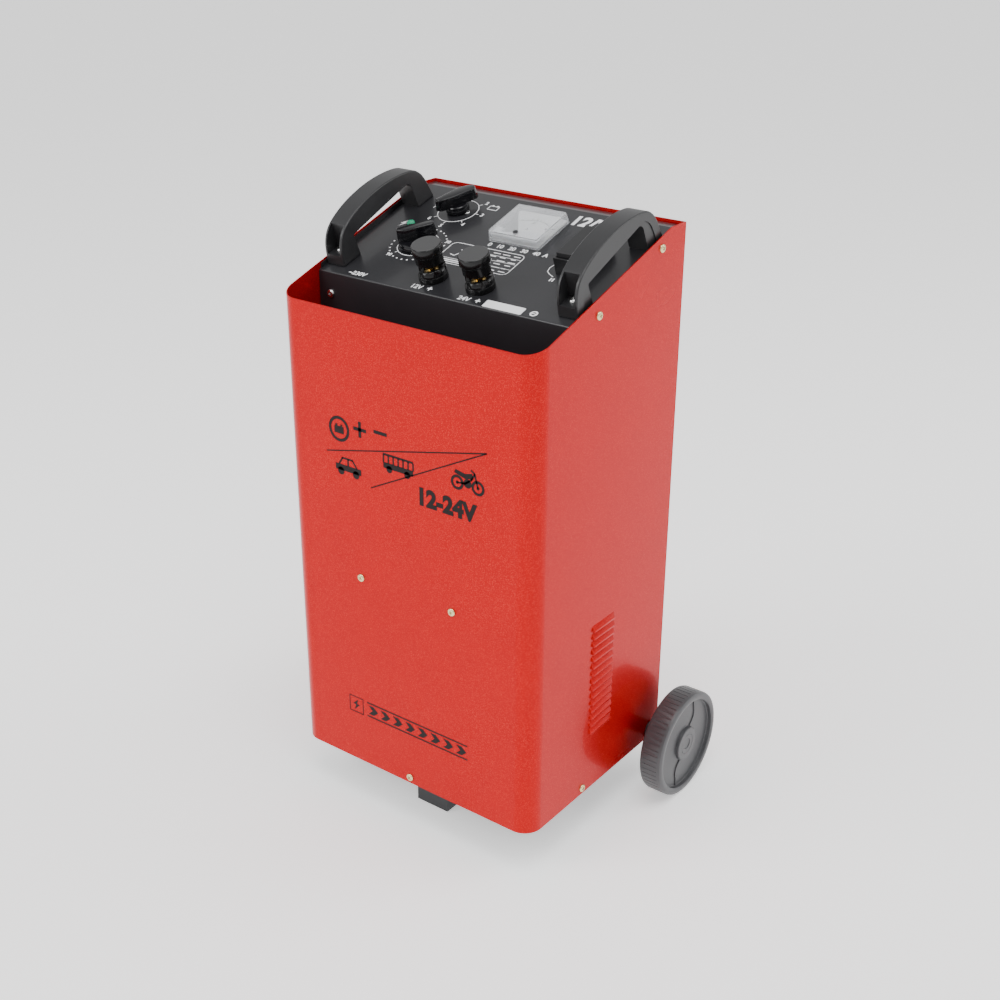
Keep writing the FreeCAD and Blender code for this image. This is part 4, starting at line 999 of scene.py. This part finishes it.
@dataclass
class Lamp:
    """Green pilot lamp with a faceted lens in a thin bezel."""

    across: float = -121.0
    along: float = 108.0

    def build(self) -> None:
        """Build the lens and the bezel."""
        place = PANEL.place(self.across, self.along)
        lens = lathe([(0, 0.6), (4.6, 0.6), (4.6, 2.8), (3.7, 4.5), (2.0, 5.3), (0, 5.4)], "lamp_lens", 12)
        place_piece(settle(lens, place), GREEN_LENS, "chassis", "pilot_lamp_lens")
        bezel = lathe([(4.7, 0), (5.5, 0), (5.5, 1.4), (5.2, 1.9), (4.9, 1.9), (4.7, 1.5), (4.7, 0)],
                      "lamp_bezel", 48)
        smooth(bezel)
        place_piece(settle(bezel, place), CAP_PLASTIC)


@dataclass
class Meter:
    """Panel ammeter: clear cover over a printed dial, needle and zero screw."""

    across: float = 17.0
    along: float = 137.0
    pivot: float = -18.0
    wide: float = 32.5
    half: float = 30.0
    height: float = 12.0

    def build(self) -> None:
        """Build the meter."""
        place = PANEL.place(self.across, self.along)
        outline = rounded_box((-self.wide, -self.half), (self.wide, self.half), 2.2)
        cover = slab(outline, 0, self.height, "meter_glass")
        with editing(cover) as mesh:
            pick(mesh, mesh.faces, looks_up)
            bpy.ops.transform.resize(value=(0.955, 0.955, 1))
        hollow = slab(rounded_box((-30.3, -28), (30.3, 28), 1.4), -2, self.height - 1.8)
        carve(cover, hollow, drum(3.1, 6, 20, (0, -22), 32))
        round_off(cover, 0.6, 3, 40)
        smooth(cover, 36)
        place_piece(settle(cover, place), CLEAR_PLASTIC, "chassis", "meter_cover")
        card = slab(rounded_box((-30, -27.6), (30, 27.6), 1), 1.6, 2.6, "dial_card")
        carve(card, drum(2.4, 0, 5, (0, self.pivot), 24))
        place_piece(settle(card, place), DIAL_CARD, "chassis", "meter_dial")
        apron = slab(rounded_box((-29.6, -27.4), (29.6, -13.5), 1), 5.8, 8.2, "meter_apron")
        carve(apron, drum(3.3, 4, 10, (0, -22), 32))
        round_off(apron, 0.4, 2)
        place_piece(settle(apron, place), WHITE_PRINT)
        self.dial_print()
        self.movement()

    def dial_print(self) -> None:
        """Arc, marks and figures on the dial."""
        ink = Print(sink=0.05, ink=0.08)
        centre = (0, self.pivot)
        ink.line(arc(centre, 33, 45, 135, 24), 0.5)
        for i in range(11):
            angle = 135 - 9 * i
            long = 37.5 if i % 5 == 0 else 35.5
            ink.line([polar(centre, 33, angle), polar(centre, long, angle)], 0.5)
        for value, angle in (("0", 135), ("20", 90), ("40", 45)):
            ink.word(value, polar(centre, 28.5, angle), 4.4, turn=angle - 90, weight=0.05)
        ink.word("A", (0, -2), 6.5, weight=0.08)
        ink.finish("dial_marks", PANEL.place(self.across, self.along, 2.6), NEEDLE)

    def movement(self) -> None:
        """Needle with its hub, and the zero screw."""
        arm = slab([(-0.5, -5), (0.5, -5), (0.3, 24), (0, 30.4), (-0.3, 24)], 4.2, 4.7, "needle_arm")
        hub = lathe([(0, -3), (1.8, -3), (1.8, 5.2), (1.2, 5.8), (0, 5.8)], "needle_hub", 24)
        needle = join([arm, hub], "needle")
        smooth(needle)
        place = PANEL.place(self.across, self.along + self.pivot, turn=45)
        place_piece(settle(needle, place), NEEDLE, "meter_movement", "meter_needle")
        screw = lathe([(0, 8.5), (2.9, 8.5), (2.9, 12.3), (2.5, 12.8), (0, 12.8)], "zero_screw", 32)
        carve(screw, cuboid((-4, -0.4, 12.1), (4, 0.4, 14)))
        smooth(screw)
        place_piece(settle(screw, PANEL.place(self.across, self.along - 22, turn=20)), NEEDLE,
                    "zero_adjuster", "meter_zero_screw")


@dataclass
class Changeover:
    """Tall changeover switch: frame and rocker."""

    def build(self) -> None:
        """Build the housing and the rocker."""
        place_piece(refined("changeover_housing", "switch_frame", 0.7, 3, 30), HOUSING_PLASTIC)
        rocker = refined("changeover_rocker", "switch_rocker", 0.7, 3, 30)
        place_piece(rocker, HOUSING_PLASTIC, "changeover_key")


@dataclass
class RunningGear:
    """Axle, bushes, spacers, wheels and the front foot."""

    radius: float = 63.5
    width: float = 28.0
    ribs: int = 60
    ridge_turn: float = 66.0

    def build(self) -> None:
        """Build both wheels and dress the rest."""
        low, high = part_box("wheel_right")
        centre = Vector((0, (low.y + high.y) / 2, (low.z + high.z) / 2))
        for name, facing, face in (("wheel_right", Facing.RIGHT, low.x),
                                   ("wheel_left", Facing.LEFT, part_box("wheel_left")[1].x)):
            wheel = self.wheel(name + "_moulding")
            place = on_face(facing, Vector((face, centre.y, centre.z)))
            place_piece(settle(wheel, place), WHEEL_PLASTIC, name, name)
        for node, name, finish in (("axle_bushes", "side_bushes", HANDLE_PLASTIC),
                                   ("axle_spacers", "spacer_tubes", HANDLE_PLASTIC),
                                   ("front_foot", "foot_bracket", BLACK_PAINT)):
            place_piece(refined(node, name, 0.5, 2, 40), finish)

    def wheel(self, name: str) -> bpy.types.Object:
        """A moulded wheel along Z: ribbed tread, raised rim, dished disc with two curved lines."""
        full, wide = self.radius, self.width
        rim = full - 9.5
        profile = [(6.1, 0), (19.9, 0), (20.5, 0.6), (20.5, 10), (rim, 10), (rim, 0.8), (rim + 0.8, 0),
                   (full - 3, 0), (full - 0.8, 1.2), (full, 3.4), (full, wide - 3.4), (full - 0.8, wide - 1.2),
                   (full - 3, wide), (rim + 1.8, wide), (rim + 0.6, wide - 0.8), (rim, wide - 4.6),
                   (rim - 1.0, wide - 5.4), (22, wide - 5.4), (20.8, wide - 5.0), (20.2, wide - 1.8),
                   (19.3, wide - 1), (12.3, wide - 1), (12, wide - 1.3), (12, wide - 7), (6.1, wide - 7),
                   (6.1, 0)]
        obj = lathe(profile, name, 96)
        grooves = []
        for i in range(self.ribs):
            angle = math.tau * i / self.ribs
            groove = cuboid((full - 0.3, -0.45, 4.5), (full + 2, 0.45, wide - 4.5))
            grooves.append(settle(groove, Matrix.Rotation(angle, 4, "Z")))
        carve(obj, join(grooves, "grooves"))
        smooth(obj, 34)
        ridges = []
        for start in (0, 180):
            path = [(20.4, 0), (27, -3), (33, -4), (39, -2.4), (46, 2.4), (rim + 0.4, 7)]
            path = curve_through(path, 4)
            outline = [(x, y + 0.55) for x, y in path] + [(x, y - 0.55) for x, y in reversed(path)]
            ridge = slab(outline, wide - 8, wide - 4.1, "ridge")
            round_off(ridge, 0.3, 2, 40)
            ridges.append(settle(ridge, Matrix.Rotation(math.radians(start + self.ridge_turn), 4, "Z")))
        obj = join([obj, *ridges], name)
        smooth(obj, 34)
        return obj


@dataclass
class Fasteners:
    """Cross-head screws of the case, bay, handles and step switch."""

    def build(self) -> None:
        """Build each set where the frame has it."""
        case = Case()
        home = {facing: case.face_origin(facing) for facing in Facing}
        half = home[Facing.RIGHT].x / MM
        sets = []
        for y, z in ((214, 598), (102, 556), (100, 8)):
            sets.append((Facing.RIGHT, (0, y, z)))
            sets.append((Facing.LEFT, (0, y, z)))
        for x, z in ((-62.5, 242), (62.5, 242), (0, 8)):
            sets.append((Facing.FRONT, (x, 0, z)))
        for side in (-1, 1):
            for z in (30, 300, 560):
                sets.append((Facing.REAR, (side * (half - 7), 0, z)))
        heads = [settle(self.head(), on_face(facing, home[facing] + Vector(spot) * MM, 30 + 37 * i))
                 for i, (facing, spot) in enumerate(sets)]
        place_piece(join(heads, "case_screw_set"), YELLOW_ZINC, "chassis", "case_screws")
        self.bay_screws()
        heads = [settle(self.head(4.8, 3, 2.5, 20), PANEL.place(side * 149, along, 12, turn=35 * side))
                 for side in (-1, 1) for along in (25, 155)]
        place_piece(join(heads, "handle_screw_set"), NICKEL, "chassis", "handle_screws")
        across, along = SWITCH_SPOT
        heads = [settle(self.head(3, 1.2, 1.5, 6), PANEL.place(across + side * 12.4, along, turn=20 * side))
                 for side in (-1, 1)]
        place_piece(join(heads, "switch_screw_set"), NICKEL, "chassis", "switch_screws")

    def bay_screws(self) -> None:
        """Screws of the black wall; the lower two stand on the bay floor's lip."""
        wall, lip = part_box("control_panel")[0].y, 1.4 * MM
        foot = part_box("rear_panel")[0].z
        spots = [Vector((x * MM, wall - stand, foot + z * MM))
                 for x, z, stand in ((-100, 242, lip), (100, 242, lip), (-147, 530, 0), (147, 530, 0))]
        heads = [settle(self.head(), on_face(Facing.FRONT, spot, 50 * i)) for i, spot in enumerate(spots)]
        place_piece(join(heads, "bay_screw_set"), NICKEL, "chassis", "bay_screws")

    def head(self, radius: float = 4.5, proud: float = 2.4, shank: float = 2.0,
             length: float = 8.0) -> bpy.types.Object:
        """A pan-head screw with a cross recess.

        Args:
            radius: Radius of the head.
            proud: Height of the head.
            shank: Radius of the shank.
            length: Length of the shank.

        Returns:
            The screw, with the head on height zero.
        """
        obj = lathe([(0, -length), (shank - 0.4, -length), (shank, -length + 0.8), (shank, 0), (radius, 0),
                     (radius, proud * 0.42), (radius * 0.93, proud * 0.74), (radius * 0.74, proud * 0.94),
                     (radius * 0.5, proud), (0, proud)], "screw", 32)
        arm, slot = radius * 0.52, radius * 0.11
        carve(obj, cuboid((-arm, -slot, proud * 0.35), (arm, slot, proud + 1)),
              cuboid((-slot, -arm, proud * 0.35), (slot, arm, proud + 1)))
        smooth(obj, 40)
        return obj


@dataclass
class Glands:
    """Cable glands on the black wall, with their grip ribs."""

    def build(self) -> None:
        """Build both glands."""
        for node in ("mains_gland", "negative_gland"):
            place_piece(refined(node, node + "_moulding", 0.5, 2, 30), HANDLE_PLASTIC)


@dataclass
class Studio:
    """Pale floor, soft light and the camera."""

    lights: tuple[tuple, ...] = (
        ("key", (-1.5, -2.4, 2.5), (0, 0, 0.4), 1.6, 52),
        ("rear_right", (1.9, 1.6, 1.9), (1.1, 0.9, 0), 1.5, 26),
        ("top", (0.6, -0.6, 2.9), (0, 0, 0.4), 1.6, 40))
    camera_spot: Colour = (0.8889, -1.17525, 1.0346)
    camera_target: Colour = (0.0268, -0.02205, 0.3650)
    camera_roll: float = 0.3
    lens: float = 52.25

    def build(self) -> None:
        """Set the stage."""
        bpy.ops.mesh.primitive_plane_add(size=60, location=(0, 0, 0))
        floor = bpy.context.object
        floor.name = "studio_floor"
        made = bpy.data.materials.new("pale_floor")
        made.use_nodes = True
        shader = made.node_tree.nodes["Principled BSDF"]
        for label, value in (("Base Color", (0.95, 0.95, 0.95, 1)), ("Roughness", 0.7),
                             ("Emission Color", (1, 1, 1, 1)), ("Emission Strength", 0.55)):
            shader.inputs[label].default_value = value
        floor.data.materials.append(made)
        self.sky()
        for name, spot, aim, size, power in self.lights:
            self.softbox(name, Vector(spot), Vector(aim), size, power)
        self.camera()

    def sky(self) -> None:
        """White surroundings, brighter towards the horizon."""
        world = bpy.data.worlds.new("soft_white")
        world.use_nodes = True
        tree = world.node_tree
        ground = tree.nodes["Background"]
        ground.inputs["Color"].default_value = (1, 1, 1, 1)
        where = add(tree, "TexCoord")
        part = add(tree, "SeparateXYZ")
        fade = add(tree, "MapRange", {"From Max": 0.75, "To Min": 1.25, "To Max": 0.75})
        wire(tree, (where, "Generated", part, "Vector"), (part, "Z", fade, "Value"),
             (fade, "Result", ground, "Strength"))
        bpy.context.scene.world = world

    def softbox(self, name: str, spot: Vector, aim: Vector, size: float, power: float) -> None:
        """A square soft light.

        Args:
            name: Its name.
            spot: Where it hangs.
            aim: What it points at.
            size: Length of its side, in metres.
            power: Its power, in watts.
        """
        data = bpy.data.lights.new(name, "AREA")
        data.size = size
        data.energy = power
        light = bpy.data.objects.new(name, data)
        light.location = spot
        light.rotation_euler = (aim - spot).to_track_quat("-Z", "Y").to_euler()
        bpy.context.scene.collection.objects.link(light)

    def camera(self) -> None:
        """The camera at its distance, height and slight roll."""
        data = bpy.data.cameras.new("camera")
        data.sensor_width = 36.0
        data.lens = self.lens
        camera = bpy.data.objects.new("camera", data)
        spot, target = Vector(self.camera_spot), Vector(self.camera_target)
        look = (target - spot).to_track_quat("-Z", "Y").to_matrix().to_4x4()
        roll = Matrix.Rotation(math.radians(self.camera_roll), 4, "Z")
        camera.matrix_world = Matrix.Translation(spot) @ look @ roll
        bpy.context.scene.collection.objects.link(camera)
        bpy.context.scene.camera = camera


def dress_frame() -> None:
    """Give every frame node that stays on show its finish."""
    for node, finish in NODE_FINISHES.items():
        obj = frame["nodes"][node]
        finish.dress(obj)
        LOG.info("%s in %s", node, finish.name)


def main() -> None:
    """Build the studio and every sub-assembly in order."""
    logging.basicConfig(level=logging.INFO, format="%(name)s: %(message)s")
    for part in (Studio(), Case(), ControlPanel(), Handles(), Terminals(), Knobs(), Lamp(), Meter(),
                 Changeover(), RunningGear(), Fasteners(), Glands()):
        part.build()
    dress_frame()


if __name__ == "__main__":
    main()
